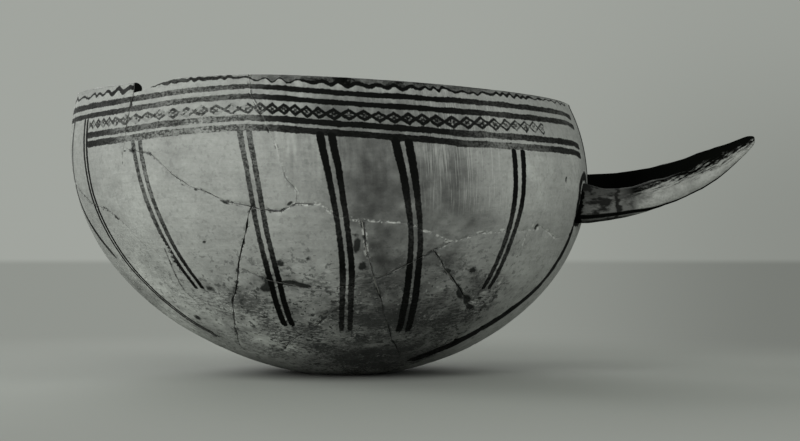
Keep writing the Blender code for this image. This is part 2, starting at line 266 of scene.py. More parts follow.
# Where the rim's flake is missing: bearing, and how far down it reaches
chip = {"bearing": [-134.0, -131.5, -128.6, -125.7, -124.3, -121.5], "drop": [3.9, 3.6, 2.7, 1.65, 1.0, 0.0]}
climbPerMm = 1 / 1.303


# The missing flake's depth in millimetres, only on the sherd that lost it.
def chipDrop(bearing, chipped):
    if not chipped:
        return np.zeros(np.shape(bearing))
    return np.interp(bearing, chip["bearing"], chip["drop"], left=chip["drop"][0], right=0.0)


# Climb of the wall's top edge: the rim's, less what the missing flake takes beyond the height of the lip.
def rimTop(bearing, chipped):
    return rimClimb - np.maximum(chipDrop(bearing, chipped) - bowl["lipRise"], 0) * climbPerMm


# Points of a join from one of its corners to another, each as bearing, climb, half gap and edge wear.
def run(line, start, end, turn=0):
    points = joins[line]
    first, last = points.index(start), points.index(end)
    step = 1 if last >= first else -1
    picked = points[first:last + step if last + step >= 0 else None:step]
    gap, wear = readTable(joinEdges.get(line, otherEdge), [bearing for bearing, climb in picked])
    return [(bearing + turn, climb, *edge) for (bearing, climb), *edge in zip(picked, gap, wear)]


# The last stretch of a join, from its highest corner straight up to the rim.
def toRim(line, start, end, bearing, turn=0, chipped=False):
    below = run(line, start, end, turn)
    return below + [(bearing, float(rimTop(bearing, chipped)), *below[-1][2:])]


# The top edge from one bearing to another, without gap or wear.
def rimRun(start, end, chipped=False):
    bearings = np.linspace(start, end, 60)
    return [(bearing, climb, 0.0, 0.0) for bearing, climb in zip(bearings, rimTop(bearings, chipped))]


rimBearings = {"chip": -134.0, "filled": -105.0, "far": 42.3, "back": 105.2, "backLeft": 162.7}
sherds = {
    "rim_left": {
        "bottom": run("leftSide", (-196, 84), (-147, 77)),
        "right": run("chipLow", (-147, 77), (-137, 88))
        + toRim("rimChip", (-137, 88), (-134, 102), rimBearings["chip"]),
        "top": rimRun(rimBearings["backLeft"] - 360, rimBearings["chip"]),
        "left": toRim("rimBackLeft", (164, 84), (163, 104), rimBearings["backLeft"] - 360, -360),
        "spacing": 0.85,
    },
    "rim_front_left": {
        "bottom": run("upperLeft", (-136, 92), (-106.5, 77)) + run("crown", (-106.5, 77), (-97, 78)),
        "right": run("crownRise", (-97, 78), (-98.5, 84))
        + toRim("filled", (-98.5, 84), (-104.5, 103), rimBearings["filled"]),
        "top": rimRun(rimBearings["chip"], rimBearings["filled"], True),
        "left": toRim("rimChip", (-136, 92), (-134, 102), rimBearings["chip"], chipped=True),
        "chipped": True,
    },
    "rim_front": {
        "bottom": run("middle", (-97, 78), (-64.5, 68.5)) + run("long", (-64.5, 68.5), (41, 77)),
        "right": toRim("rimFar", (41, 77), (43, 104), rimBearings["far"]),
        "top": rimRun(rimBearings["filled"], rimBearings["far"]),
        "left": run("crownRise", (-97, 78), (-98.5, 84))
        + toRim("filled", (-98.5, 84), (-104.5, 103), rimBearings["filled"]),
    },
    "rim_back_right": {
        "bottom": run("long", (41, 77), (88, 80)) + run("leftSide", (-272, 80), (-250, 86), 360),
        "right": toRim("rimBack", (110, 86), (104, 103), rimBearings["back"]),
        "top": rimRun(rimBearings["far"], rimBearings["back"]),
        "left": toRim("rimFar", (41, 77), (43, 104), rimBearings["far"]),
        "spacing": 1.1,
    },
    "rim_back_left": {
        "bottom": run("leftSide", (-250, 86), (-196, 84), 360),
        "right": toRim("rimBackLeft", (164, 84), (163, 104), rimBearings["backLeft"]),
        "top": rimRun(rimBearings["back"], rimBearings["backLeft"]),
        "left": toRim("rimBack", (110, 86), (104, 103), rimBearings["back"]),
        "spacing": 1.1,
    },
    "wall_left": {
        "bottom": run("leftSide", (-147, 77), (-119, 52.5)),
        "right": run("leftDrop", (-119, 52.5), (-106.5, 77)),
        "top": run("upperLeft", (-136, 92), (-106.5, 77)),
        "left": run("chipLow", (-147, 77), (-137, 88)) + run("rimChip", (-137, 88), (-136, 92)),
    },
    "wall_centre": {
        "bottom": run("long", (-113, 62), cross),
        "right": run("centreDrop", cross, (-84, 74)),
        "top": run("crown", (-106.5, 77), (-97, 78)) + run("middle", (-97, 78), (-84, 74)),
        "left": run("leftDrop", (-113, 62), (-106.5, 77)),
    },
    "wall_wedge": {
        "bottom": run("long", cross, (-64.5, 68.5)),
        "right": run("middle", (-64.5, 68.5), (-75, 73.5)),
        "top": run("middle", (-84, 74), (-75, 73.5)),
        "left": run("centreDrop", cross, (-84, 74)),
    },
    "wall_low_centre": {
        "bottom": run("footRing", (-140, 31), (-115, 33)),
        "right": run("lowArc", (-115, 33), (-79, 52)) + run("centreDrop", (-79, 52), cross),
        "top": run("long", (-113, 62), cross),
        "left": run("leftDrop", (-140, 31), (-113, 62)),
    },
    "wall_base_centre": {
        "bottom": run("footRing", (-115, 33), (-63, 29)),
        "right": run("centreDrop", (-63, 29), (-79, 52)),
        "top": run("lowArc", (-91, 50), (-79, 52)),
        "left": run("lowArc", (-115, 33), (-91, 50)),
    },
    "wall_low_front": {
        "bottom": run("footRing", (-63, 29), (-40, 30)),
        "right": run("rightDrop", (-40, 30), (-68, 66.5)),
        "top": run("long", cross, (-68, 66.5)),
        "left": run("centreDrop", (-63, 29), cross),
    },
    "wall_low_right": {
        "bottom": run("rightDrop", (-54, 52), (-46, 51)),
        "right": run("rightSide", (-46, 51), (-43, 72)),
        "top": run("long", (-68, 66.5), (-43, 72)),
        "left": run("rightDrop", (-54, 52), (-68, 66.5)),
    },
    "wall_right": {
        "bottom": run("footRing", (-40, 30), (62, 31)),
        "right": run("lowBackRight", (62, 31), (72, 76)),
        "top": run("long", (-43, 72), (72, 76)),
        "left": run("rightDrop", (-40, 30), (-46, 51)) + run("rightSide", (-46, 51), (-43, 72)),
        "spacing": 0.85,
    },
    "wall_low_back": {
        "bottom": run("footRing", (62, 31), (150, 32)),
        "right": run("lowBackLeft", (150, 32), (148, 87)),
        "top": run("long", (72, 76), (88, 80)) + run("leftSide", (-272, 80), (-212, 87), 360),
        "left": run("lowBackRight", (62, 31), (72, 76)),
        "spacing": 1.2,
    },
    "wall_low_left": {
        "bottom": run("footRing", (-210, 32), (-140, 31)),
        "right": run("leftDrop", (-140, 31), (-119, 52.5)),
        "top": run("leftSide", (-212, 87), (-119, 52.5)),
        "left": run("lowBackLeft", (150, 32), (148, 87), -360),
        "spacing": 0.9,
    },
}
grid = {
    "spacing": 0.75, "crowd": 0.6, "edgeRings": 5, "breakRough": 0.25, "breakSize": 1.6,
    "wander": 0.36, "wanderSize": 6.5, "fray": 0.16, "fraySize": 2.2,
}


# Bearing, climb, half gap and wear at shares of a side's length, by straight lines between its corners.
def alongSide(side, share):
    points = np.array(side, float)
    keep = np.ones(len(points), bool)
    keep[1:] = np.any(np.abs(np.diff(points[:, :2], axis=0)) > 1e-6, axis=1)
    points = points[keep]
    flat = points[:, :2] * np.stack([np.sin(np.radians(points[:, 1])), np.ones(len(points))], axis=1)
    length = np.concatenate([[0], np.cumsum(np.linalg.norm(np.diff(flat, axis=0), axis=1))])
    return np.stack([np.interp(share * length[-1], length, points[:, k]) for k in range(4)], axis=-1)


# Sideways wander of the joins, in degrees: noise of two sizes, the same for every sherd that meets there.
def wander(bearing, climb):
    place = wallPoint(bearing, climb)
    near = np.maximum(np.hypot(place[..., 0], place[..., 1]), 20)
    over = 1 - smooth(climb, 100, 104)
    step = [grid["wander"] * noise(place, grid["wanderSize"], seed)
            + grid["fray"] * noise(place, grid["fraySize"], seed + 5) for seed in (11, 12)]
    return bearing + np.degrees(step[0] / near), climb + np.degrees(step[1] / bowl["girthRadius"]) * over


# A patch between four sides (Coons): each pair of sides blended straight across, less the straight blend of
# the four corners.
def patch(sides, across, up):
    bottom, top = (alongSide(sides[key], across) for key in ("bottom", "top"))
    left, right = (alongSide(sides[key], up) for key in ("left", "right"))
    u, v = across[..., None], up[..., None]
    corner = [alongSide(sides[key], np.array(end)) for key, end in
              (("bottom", 0.0), ("bottom", 1.0), ("top", 0.0), ("top", 1.0))]
    mixed = (1 - v) * bottom + v * top + (1 - u) * left + u * right
    return mixed - ((1 - u) * (1 - v) * corner[0] + u * (1 - v) * corner[1]
                    + (1 - u) * v * corner[2] + u * v * corner[3])


# A side's length in millimetres on the wall, as the sum of 199 short chords.
def sideLength(side):
    points = alongSide(side, np.linspace(0, 1, 200))
    return np.linalg.norm(np.diff(wallPoint(points[:, 0], points[:, 1]), axis=0), axis=1).sum()


# Shares from 0 to 1 that crowd towards both ends: t - crowd * sin(2 pi t) / (2 pi).
def crowded(count):
    share = np.linspace(0, 1, count)
    return share - grid["crowd"] * np.sin(2 * math.pi * share) / (2 * math.pi)


# The painting: its places on the wall

paint = {
    # The climb of the top band's middle by bearing, and how far below it each of the four lies
    "bandLine": [(-163, 102.5), (-139, 103), (-120, 104), (-105, 104.6), (-86, 103.5), (-24, 103.7),
                 (-17, 102.5)],
    "bandSteps": [(-86, 0, 2.2, 7.1, 9.2), (-61, 0, 2.6, 8.1, 10.5)],
    "bandDepths": [5.2, 8.8, 15.6, 18.7], "halfWidths": [0.94, 0.97, 1.03, 1.10],
    # Bearings between which the lower bands, all bands and the lozenges begin or end
    "panelStart": (-152.6, -152.2), "panelEnd": (-18.8, -18.1), "bandsEnd": (-18.9, -18.2),
    "chainStart": (-151.6, -151.0), "chainEnd": (-37.2, -36.4),
    # Along the row of lozenges: bearing, lozenges passed, depth below the rim, half their height, and half
    # the line's width
    "chain": [(-152, -1, 12.0, 1.25, 0.50), (-139, 4.5, 12.2, 1.35, 0.55), (-122, 9.5, 12.5, 1.30, 0.50),
              (-105, 14.5, 12.6, 1.35, 0.45), (-100, 16.5, 12.4, 1.40, 0.60), (-91, 20.5, 12.6, 1.40, 0.60),
              (-79, 24.5, 12.5, 1.35, 0.60), (-67, 28.5, 12.4, 1.45, 0.60), (-53, 32.5, 12.0, 1.60, 0.40),
              (-38, 37.5, 11.9, 1.65, 0.30), (-20, 43.5, 11.9, 1.65, 0.30)],
    # Stretches of the wavy line: bearings of its first and last turn, how many turns, depth below the rim of
    # its low and high turns, and half the line's width
    "waveRuns": [(-180, -164, 6, 2.7, 1.8, 0.50), (-161, -150, 4, 2.7, 2.1, 0.30),
                 (-148.5, -144, 4, 2.7, 1.8, 0.40), (-142, -134.5, 4, 2.7, 1.6, 0.72),
                 (-132, -126, 4, 2.4, 1.9, 0.22), (-124, -109, 14, 1.8, 1.4, 0.70),
                 (-107.5, -105.5, 2, 1.9, 1.4, 0.45), (-103.5, -94.5, 6, 3.2, 2.0, 0.32),
                 (-92, -71, 12, 2.8, 1.9, 0.70), (-69.5, -64, 6, 2.4, 1.5, 0.50),
                 (-61, -54, 6, 2.6, 1.9, 0.40), (-51.5, -39.5, 12, 2.1, 1.3, 0.54),
                 (-37, -19, 12, 1.7, 1.1, 0.26), (-15, 0, 4, 2.3, 1.4, 0.30)],
    # Share of a thin wash between the wavy line and the rim's top, by bearing
    "wash": [(-182, 0.15), (-134, 0.12), (-125, 0.05), (-107, 0.15), (-103, 0.45), (-99, 0.70), (-92, 0.90),
             (-86, 0.98), (-80, 0.99), (-72, 0.97), (-66, 0.85), (-57, 0.72), (-48, 0.58), (-42, 0.50),
             (-30, 0.3), (0, 0.2)],
    # How much of the paint is lost: bearing, then the upper two bands, the third, the fourth, the lozenges
    "loss": [(-182, 0.2, 0.2, 0.2, 0.1), (-158, 0.05, 0.05, 0.03, 0.1), (-148, 0.06, 0.06, 0.03, 0.1),
             (-141, 0.05, 0.1, 0.08, 0.1), (-137.5, 0.1, 0.3, 0.35, 0.2), (-131, 0.18, 0.22, 0.4, 0.2),
             (-126, 0.26, 0.3, 0.42, 0.2), (-123, 0.32, 0.24, 0.5, 0.2), (-119, 0.3, 0.34, 0.42, 0.2),
             (-117, 0.24, 0.8, 0.45, 0.2), (-115.6, 0.22, 0.65, 0.58, 0.2), (-113, 0.22, 0.36, 0.5, 0.2),
             (-107, 0.24, 0.36, 0.4, 0.2), (-103.5, 0.12, 0.2, 0.3, 0.2), (-101, 0.03, 0.04, 0.18, 0.02),
             (-98, 0.01, 0.01, 0.03, 0.01), (-66, 0, 0.01, 0.02, 0.01), (-60, 0.03, 0.1, 0.12, 0.02),
             (-56, 0.05, 0.2, 0.2, 0.03), (-52, 0.08, 0.16, 0.3, 0.05), (-47, 0.06, 0.1, 0.2, 0.08),
             (-40, 0.05, 0.06, 0.16, 0.1), (-32, 0.08, 0.04, 0.04, 0.12), (-26, 0.14, 0.04, 0.04, 0.2),
             (-17, 0.04, 0.04, 0.04, 0.3), (0, 0.1, 0.1, 0.1, 0.3)],
}
# Lines down the wall, each as (bearing, climb, half the space between a pair or 0 for a single line, half the
# width of each stroke, paint lost) from the top
strokes = [
    [(-132, 93.5, 1.7, 0.95, 0.35), (-130.5, 79, 1.6, 0.95, 0.25), (-129, 65, 1.5, 0.95, 0.05),
     (-127.5, 56, 1.5, 0.85, 0.0)],
    [(-106, 95, 1.55, 1.05, 0.30), (-105, 84, 1.5, 0.9, 0.20), (-105, 70, 1.5, 0.9, 0.10),
     (-105, 60, 1.5, 1.05, 0.0), (-106.5, 44, 1.4, 1.1, 0.0)],
    [(-90, 94, 1.85, 1.4, 0.0), (-89, 86, 1.8, 1.1, 0.0), (-88, 73, 1.5, 0.9, 0.05),
     (-87.5, 62, 1.5, 1.05, 0.0), (-88, 54.5, 1.45, 1.0, 0.10), (-89, 42, 1.5, 0.85, 0.10)],
    [(-75, 93, 2.3, 1.5, 0.0), (-74, 85, 1.9, 1.35, 0.0), (-72.5, 71.5, 1.6, 0.9, 0.10),
     (-72, 60, 1.6, 1.2, 0.0), (-71, 48, 1.75, 1.3, 0.05), (-70, 41.5, 1.7, 1.15, 0.05)],
    [(-47.5, 92, 2.15, 1.2, 0.0), (-47.5, 80, 1.95, 1.15, 0.0), (-48.5, 70, 1.5, 1.1, 0.10),
     (-49.5, 56, 1.5, 1.0, 0.05)],
    [(-152.5, 99.5, 1.35, 0.9, 0.0), (-153, 80, 1.25, 0.9, 0.0), (-151, 60, 1.1, 0.75, 0.0),
     (-146.5, 44, 1.0, 0.8, 0.0), (-142.5, 38, 0.95, 0.85, 0.10)],
    [(-162, 100.5, 0, 1.3, 0.20), (-167, 85, 0, 1.7, 0.15), (-168, 79.5, 0, 1.9, 0.05),
     (-164, 72.5, 0, 1.8, 0.0), (-157, 64.5, 0, 1.1, 0.10)],
    [(-20.5, 73, 0.75, 0.9, 0.0), (-21.5, 64, 0.95, 1.2, 0.0), (-23.5, 56.5, 1.05, 1.3, 0.0),
     (-29.5, 48, 1.15, 1.4, 0.0), (-41.5, 34, 1.4, 1.9, 0.0), (-53, 26.5, 1.2, 1.8, 0.05)],
    [(-12.5, 106, 0, 2.8, 0.0), (-12, 93, 0, 2.4, 0.0), (-11, 84, 0, 1.6, 0.20)],
    [(-131.5, 67, 0, 0.3, 0.40), (-132.5, 61.5, 0, 0.4, 0.35), (-134, 55, 0, 0.35, 0.40)],
]
farSide = {"shift": [1.5, -2.0, 1.0, -1.0, 2.5, 0.0, 1.0, -1.5, 0.0, 0.0], "worn": 0.15}
root = {"bearing": 17.2, "climb": 80.8, "halfAcross": 5.2, "halfUp": 7.6, "round": 4.0}
# Marks on the wall: bearing, climb, half length and half width in millimetres, the turn from level in
# degrees, and strength, dark above zero and pale below
marks = [
    (-29.6, 85.3, 1.25, 0.45, -68, 1.6), (-39.9, 73.0, 1.2, 0.75, 70, 1.8), (-119.6, 68.6, 0.5, 0.5, 0, 1.8),
    (-38.7, 81.3, 1.1, 0.3, 75, 0.8), (-101.0, 57.3, 3.9, 1.3, -10, 1.8), (-97.6, 56.6, 1.2, 0.7, 0, 1.2),
    (-106.8, 57.4, 3.4, 2.0, 80, 1.45), (-108.6, 56.0, 1.8, 1.5, 0, 1.0), (-102.6, 63.1, 1.6, 1.2, 0, 1.45),
    (-96.2, 64.0, 1.2, 1.0, 0, 1.4), (-124.0, 55.6, 2.2, 2.6, 0, 0.7), (-120.8, 46.8, 1.8, 0.7, 5, 0.7),
    (-129.0, 53.5, 1.6, 0.6, 0, 0.6), (-139.7, 45.5, 2.6, 1.6, 20, 0.9), (-109.3, 46.5, 1.3, 0.9, 0, 0.9),
    (-85.2, 67.6, 3.2, 1.2, 80, 1.3), (-84.2, 62.4, 1.9, 1.4, 60, 1.2), (-85.3, 70.5, 1.4, 0.8, 0, 0.7),
    (-63.6, 61.2, 1.5, 1.2, 0, 1.3), (-56.4, 61.3, 2.0, 1.7, 0, 1.1), (-59.9, 58.8, 1.2, 0.9, 0, 0.8),
    (-57.6, 54.4, 3.0, 1.3, -58, 1.4), (-53.8, 52.2, 3.0, 1.3, -52, 1.45), (-51.0, 49.8, 2.8, 1.1, -35, 1.4),
    (-61.6, 59.0, 3.0, 0.6, -55, 0.9), (-49.8, 52.8, 1.4, 0.8, 0, 0.8), (-136.8, 88.4, 1.0, 0.25, 80, 0.9),
    (-141.6, 90.6, 0.9, 0.6, 0, 0.5), (-19.9, 74.6, 2.6, 1.3, 80, 1.6), (-118.0, 81.4, 1.0, 0.5, -30, 1.0),
    (-120.8, 82.5, 0.9, 0.4, -40, 1.0), (-111.9, 78.3, 1.8, 0.6, -30, 1.0),
    (-109.4, 77.6, 1.2, 0.5, -20, 1.0), (-98.4, 77.9, 1.4, 0.6, 40, 1.1), (-116.0, 40.0, 1.2, 1.0, 0, 0.7),
    (-135.7, 91.1, 0.8, 0.4, 0, 1.0), (-104.0, 76.4, 1.2, 0.4, 0, 0.9), (-62.0, 66.8, 1.6, 0.4, -20, 0.5),
    (-30.8, 70.2, 1.6, 0.9, 0, -0.9), (-41.3, 73.4, 1.3, 0.5, 70, -0.9), (-33.2, 46.6, 1.5, 0.7, 20, -1.0),
    (-45.6, 57.2, 1.2, 1.0, 0, -0.8), (-49.5, 54.5, 2.0, 1.2, 0, -0.95), (-52.2, 50.9, 1.6, 0.6, -50, -0.8),
    (-121.0, 49.3, 2.4, 1.6, 0, -0.6), (-97.8, 82.0, 0.9, 0.6, 0, -0.8), (-64.6, 69.0, 2.0, 0.8, 0, -1.0),
    (-70.5, 71.6, 2.2, 0.6, -10, -0.9), (-77.5, 73.6, 1.8, 0.5, 0, -0.8), (-84.0, 73.4, 1.4, 0.6, 0, -0.8),
    (-57.0, 71.6, 2.4, 0.6, 10, -0.8), (-51.0, 72.2, 1.6, 0.7, 0, -0.8), (-35.0, 106.6, 1.6, 0.5, 0, 1.4),
]
# Broad stains, painted shade and painted light: bearing, climb, spread in millimetres across and up, and the
# natural logarithm of the change
tones = [
    # Soot between the third and fourth pairs of lines, and up over the bands
    (-81, 84, 15, 24, -1.4), (-79, 72, 12, 12, -0.6), (-84, 100, 16, 10, -0.6),
    # It fades to the right of the fourth pair
    (-66, 81, 11, 20, -1.2), (-57, 75, 7, 7, -0.5), (-65, 99, 16, 10, -0.6),
    # Smoke below the middle join and low on the wall, and darkening round the foot that is partly painted
    # shade under the bowl
    (-70, 62, 14, 12, -0.9), (-80, 58, 10, 14, -0.8), (-68, 46, 20, 12, -1.3), (-84, 46, 12, 10, -0.8),
    (-96, 52, 8, 5, -0.3), (-50, 44, 8, 7, -0.6), (-72, 30, 26, 10, -1.4), (-60, 36, 10, 7, -0.5),
    # Painted light at the left and low left, as if lit from low on the left
    (-130, 80, 24, 16, 0.2), (-146, 56, 12, 18, 0.6), (-125, 46, 16, 12, 0.5), (-112, 34, 18, 9, 0.5),
    (-158, 42, 12, 12, 0.6),
    # Lighter at the right: paler slip, and partly painted light
    (-42, 86, 14, 20, 0.3), (-26, 90, 10, 14, 0.3), (-34, 60, 14, 14, 0.2),
]


# Bearing folded to the front: the far side carries the same scheme, mirrored, at -bearing.
def foldBearing(bearing):
    turned = (bearing + 180) % 360 - 180
    return -np.abs(turned), turned > 0


# The turns of the wavy line as bearing, depth and half width, low and high by turns. The two sines make them
# as uneven as a hand does.
def waveTurns():
    turns = []
    for start, end, count, low, high, half in paint["waveRuns"]:
        step = (end - start) / (count - 1)
        for number in range(count):
            order = len(turns)
            depth = low if order % 2 == 0 else high
            turns.append((start + step * (number + 0.2 * math.sin(7.3 * order)),
                          depth + 0.15 * math.sin(4.1 * order), half))
    return np.array(turns)


# The wavy line at a bearing: waves passed, middle depth, swing and half width. A turn's middle depth is half
# its own depth and a quarter of each neighbour's.
def readWave(bearing):
    turns = waveTurns()
    depth = np.concatenate([turns[1:2, 1], turns[:, 1], turns[-2:-1, 1]])
    middle = 0.5 * depth[1:-1] + 0.25 * (depth[:-2] + depth[2:])
    swing = (turns[:, 1] - middle) * np.where(np.arange(len(turns)) % 2 == 0, 1, -1)
    columns = [np.arange(len(turns)) / 2, middle, swing, turns[:, 2]]
    return [np.interp(bearing, turns[:, 0], column) for column in columns]


# Depth below the rim stretched so that the four bands lie at their even depths.
def bandDepth(bearing, climb):
    line = readTable(paint["bandLine"], bearing)[0]
    levels = [line - step for step in readTable(paint["bandSteps"], bearing)]
    top = rimClimb + bowl["lipRise"] * climbPerMm
    depth = (top - climb) / climbPerMm
    upper, done = top, 0.0
    for level, wanted in zip(levels, paint["bandDepths"]):
        depth = np.where(climb <= upper, done + (upper - climb) / (upper - level) * (wanted - done), depth)
        upper, done = level, wanted
    return np.where(climb <= upper, done + (upper - climb) * 1.36, depth)


# For each point, the nearest drawn line: signed distance across it, half spacing, half width and lost paint.
def nearestStroke(bearing, climb, far):
    radius = bowl["girthRadius"] * np.sin(np.radians(np.maximum(climb, 12)))
    found = {key: np.zeros(bearing.shape) for key in ("apart", "half", "loss")}
    found["signed"] = np.full(bearing.shape, 99.0)
    best = np.full(bearing.shape, 99.0)
    for index, stroke in enumerate(strokes):
        line = np.array(sorted(stroke, key=lambda row: row[1]))
        middle = sum(np.interp(climb + step, line[:, 1], line[:, 0]) for step in (-3, -1.5, 0, 1.5, 3)) / 5
        ahead = np.interp(climb + 1, line[:, 1], line[:, 0]) - np.interp(climb - 1, line[:, 1], line[:, 0])
        slope = np.radians(ahead) * radius / (2 * math.radians(1) * bowl["girthRadius"])
        middle = middle + np.where(far, farSide["shift"][index], 0)
        signed = np.radians(bearing - middle) * radius / np.hypot(1, slope)
        over = np.maximum(climb - line[-1, 1], line[0, 1] - climb) * math.radians(bowl["girthRadius"])
        reach = np.abs(signed) + 0.5 * np.maximum(over, 0)
        nearer = reach < best
        best = np.where(nearer, reach, best)
        apart, half, loss = (np.interp(climb, line[:, 1], line[:, column]) for column in (2, 3, 4))
        rounded = half * np.sqrt(np.clip(1 - (np.maximum(over, 0) / half) ** 2, 0, 1))
        half = np.where(over > half, -1.0 - 0.5 * over, rounded)
        for key, value in (("signed", signed), ("apart", apart), ("half", half),
                           ("loss", loss + np.where(far, farSide["worn"], 0))):
            found[key] = np.where(nearer, value, found[key])
    return found


# Distance outside a rounded rectangle about the place where an arm of the handle meets the wall.
def rootDistance(bearing, climb):
    radius = bowl["girthRadius"] * np.sin(np.radians(climb))
    across = np.abs(np.radians(np.abs(bearing) - root["bearing"])) * radius
    up = np.abs(np.radians(climb - root["climb"])) * wallDepth
    outX = across - (root["halfAcross"] - root["round"])
    outY = up - (root["halfUp"] - root["round"])
    return (np.hypot(np.maximum(outX, 0), np.maximum(outY, 0))
            + np.minimum(np.maximum(outX, outY), 0) - root["round"])


# Everything that the material needs to know about a place on the wall, as named vectors.
def wallAttributes(bearing, climb, kind, joinDistance, openness, stainAndPaintedShade):
    turned = (bearing + 180) % 360 - 180
    folded, far = foldBearing(bearing)
    depth = bandDepth(folded, climb)
    arc = np.radians(turned) * bowl["girthRadius"]
    stroke = nearestStroke(folded, climb, far)
    losses = [loss + 0.08 * far for loss in readTable(paint["loss"], folded)]
    wave, chain = readWave(folded), readTable(paint["chain"], folded)
    panel = smooth(folded, *paint["panelStart"]) * (1 - smooth(folded, *paint["panelEnd"]))
    chainOn = smooth(folded, *paint["chainStart"]) * (1 - smooth(folded, *paint["chainEnd"]))
    bandsOn = 1 - smooth(folded, *paint["bandsEnd"])
    reach = np.stack([np.radians(folded) * bowl["girthRadius"] * np.sin(np.radians(climb)),
                      np.radians(climb) * bowl["girthRadius"]], axis=-1)
    tone, stain = np.zeros(bearing.shape), np.zeros(bearing.shape)
    for markBearing, markClimb, long, wide, turn, amount in marks:
        across = np.radians(turned - markBearing) * bowl["girthRadius"] * np.sin(np.radians(climb))
        up = reach[..., 1] - math.radians(markClimb) * bowl["girthRadius"]
        cosine, sine = math.cos(math.radians(turn)), math.sin(math.radians(turn))
        along, aside = across * cosine + up * sine, up * cosine - across * sine
        stain += amount * np.exp(-((along / long) ** 2) - (aside / wide) ** 2)
    for toneBearing, toneClimb, wide, high, amount in tones:
        across = np.radians(folded - toneBearing) * bowl["girthRadius"] * np.sin(np.radians(climb))
        up = reach[..., 1] - math.radians(toneClimb) * bowl["girthRadius"]
        tone += amount * np.exp(-((across / wide) ** 2 + (up / high) ** 2)) * np.where(far, 0.45, 1)
    place = wallPoint(bearing, climb)
    tone *= np.clip(0.95 + 0.28 * noise(place, 6.0, 81) + 0.32 * noise(place, 2.6, 82), 0.3, 1.5)
    scratch = smooth(turned, -74, -68) * (1 - smooth(turned, -50, -44)) * smooth(climb, 74, 82)
    drip = smooth(folded, -104, -98) * (1 - smooth(folded, -64, -56)) * smooth(climb, 74, 92)
    eroded = (smooth(-climb, -76, -46) * (0.45 + 0.55 * smooth(folded, -140, -104))
              * (1 - 0.75 * smooth(folded, -45, -40)))
    pale = smooth(folded, -101, -96) * (1 - smooth(folded, -34, -26)) * smooth(climb, 62, 68)
    return {
        "bandPlace": np.stack([arc, depth, np.radians(climb) * wallDepth], axis=-1),
        "bandShow": np.stack([bandsOn, panel, chainOn], axis=-1),
        "bandLoss": np.stack(losses[:3], axis=-1),
        "waveForm": np.stack(wave[1:], axis=-1),
        "counts": np.stack([wave[0], chain[0], losses[3]], axis=-1),
        "chain": np.stack(chain[1:], axis=-1),
        "stroke": np.stack([stroke["signed"], np.abs(stroke["signed"]), stroke["apart"]], axis=-1),
        "strokeForm": np.stack([stroke["half"], stroke["loss"], scratch], axis=-1),
        "tone": np.stack([np.exp(tone), joinDistance, eroded], axis=-1),
        "mark": np.stack([stain, drip, rootDistance(turned, climb)], axis=-1),
        "skin": np.stack([kind, readTable(paint["wash"], folded)[0], stainAndPaintedShade], axis=-1),
        "edge": np.stack([pale, 0.3 + 0.7 * smooth(folded, -107, -98), openness], axis=-1),
    }


# Sherds


# Quads of a grid of vertex numbers, seen from outside with across to the right and up to the top.
def gridFaces(index):
    return np.stack([index[:-1, :-1], index[1:, :-1], index[1:, 1:], index[:-1, 1:]], axis=-1).reshape(-1, 4)


# The vertex numbers round the four sides of a grid.
def sideLoop(index):
    return np.concatenate([index[:-1, 0], index[-1, :-1], index[:0:-1, -1], index[0, :0:-1]])


# Quads from the outer face's loop through the rings of the edge to the inner face's loop.
def edgeFaces(loop, count):
    rings = [loop] + [2 * count + k * len(loop) + np.arange(len(loop)) for k in range(grid["edgeRings"])]
    rings.append(loop + count)
    return [np.stack([near, far, np.roll(far, -1), np.roll(near, -1)], axis=-1)
            for near, far in zip(rings[:-1], rings[1:])]


# Three noises that make a broken edge rough.
def breakNoise(place):
    return np.stack([noise(place, grid["breakSize"], 51 + k) for k in range(3)], axis=-1)


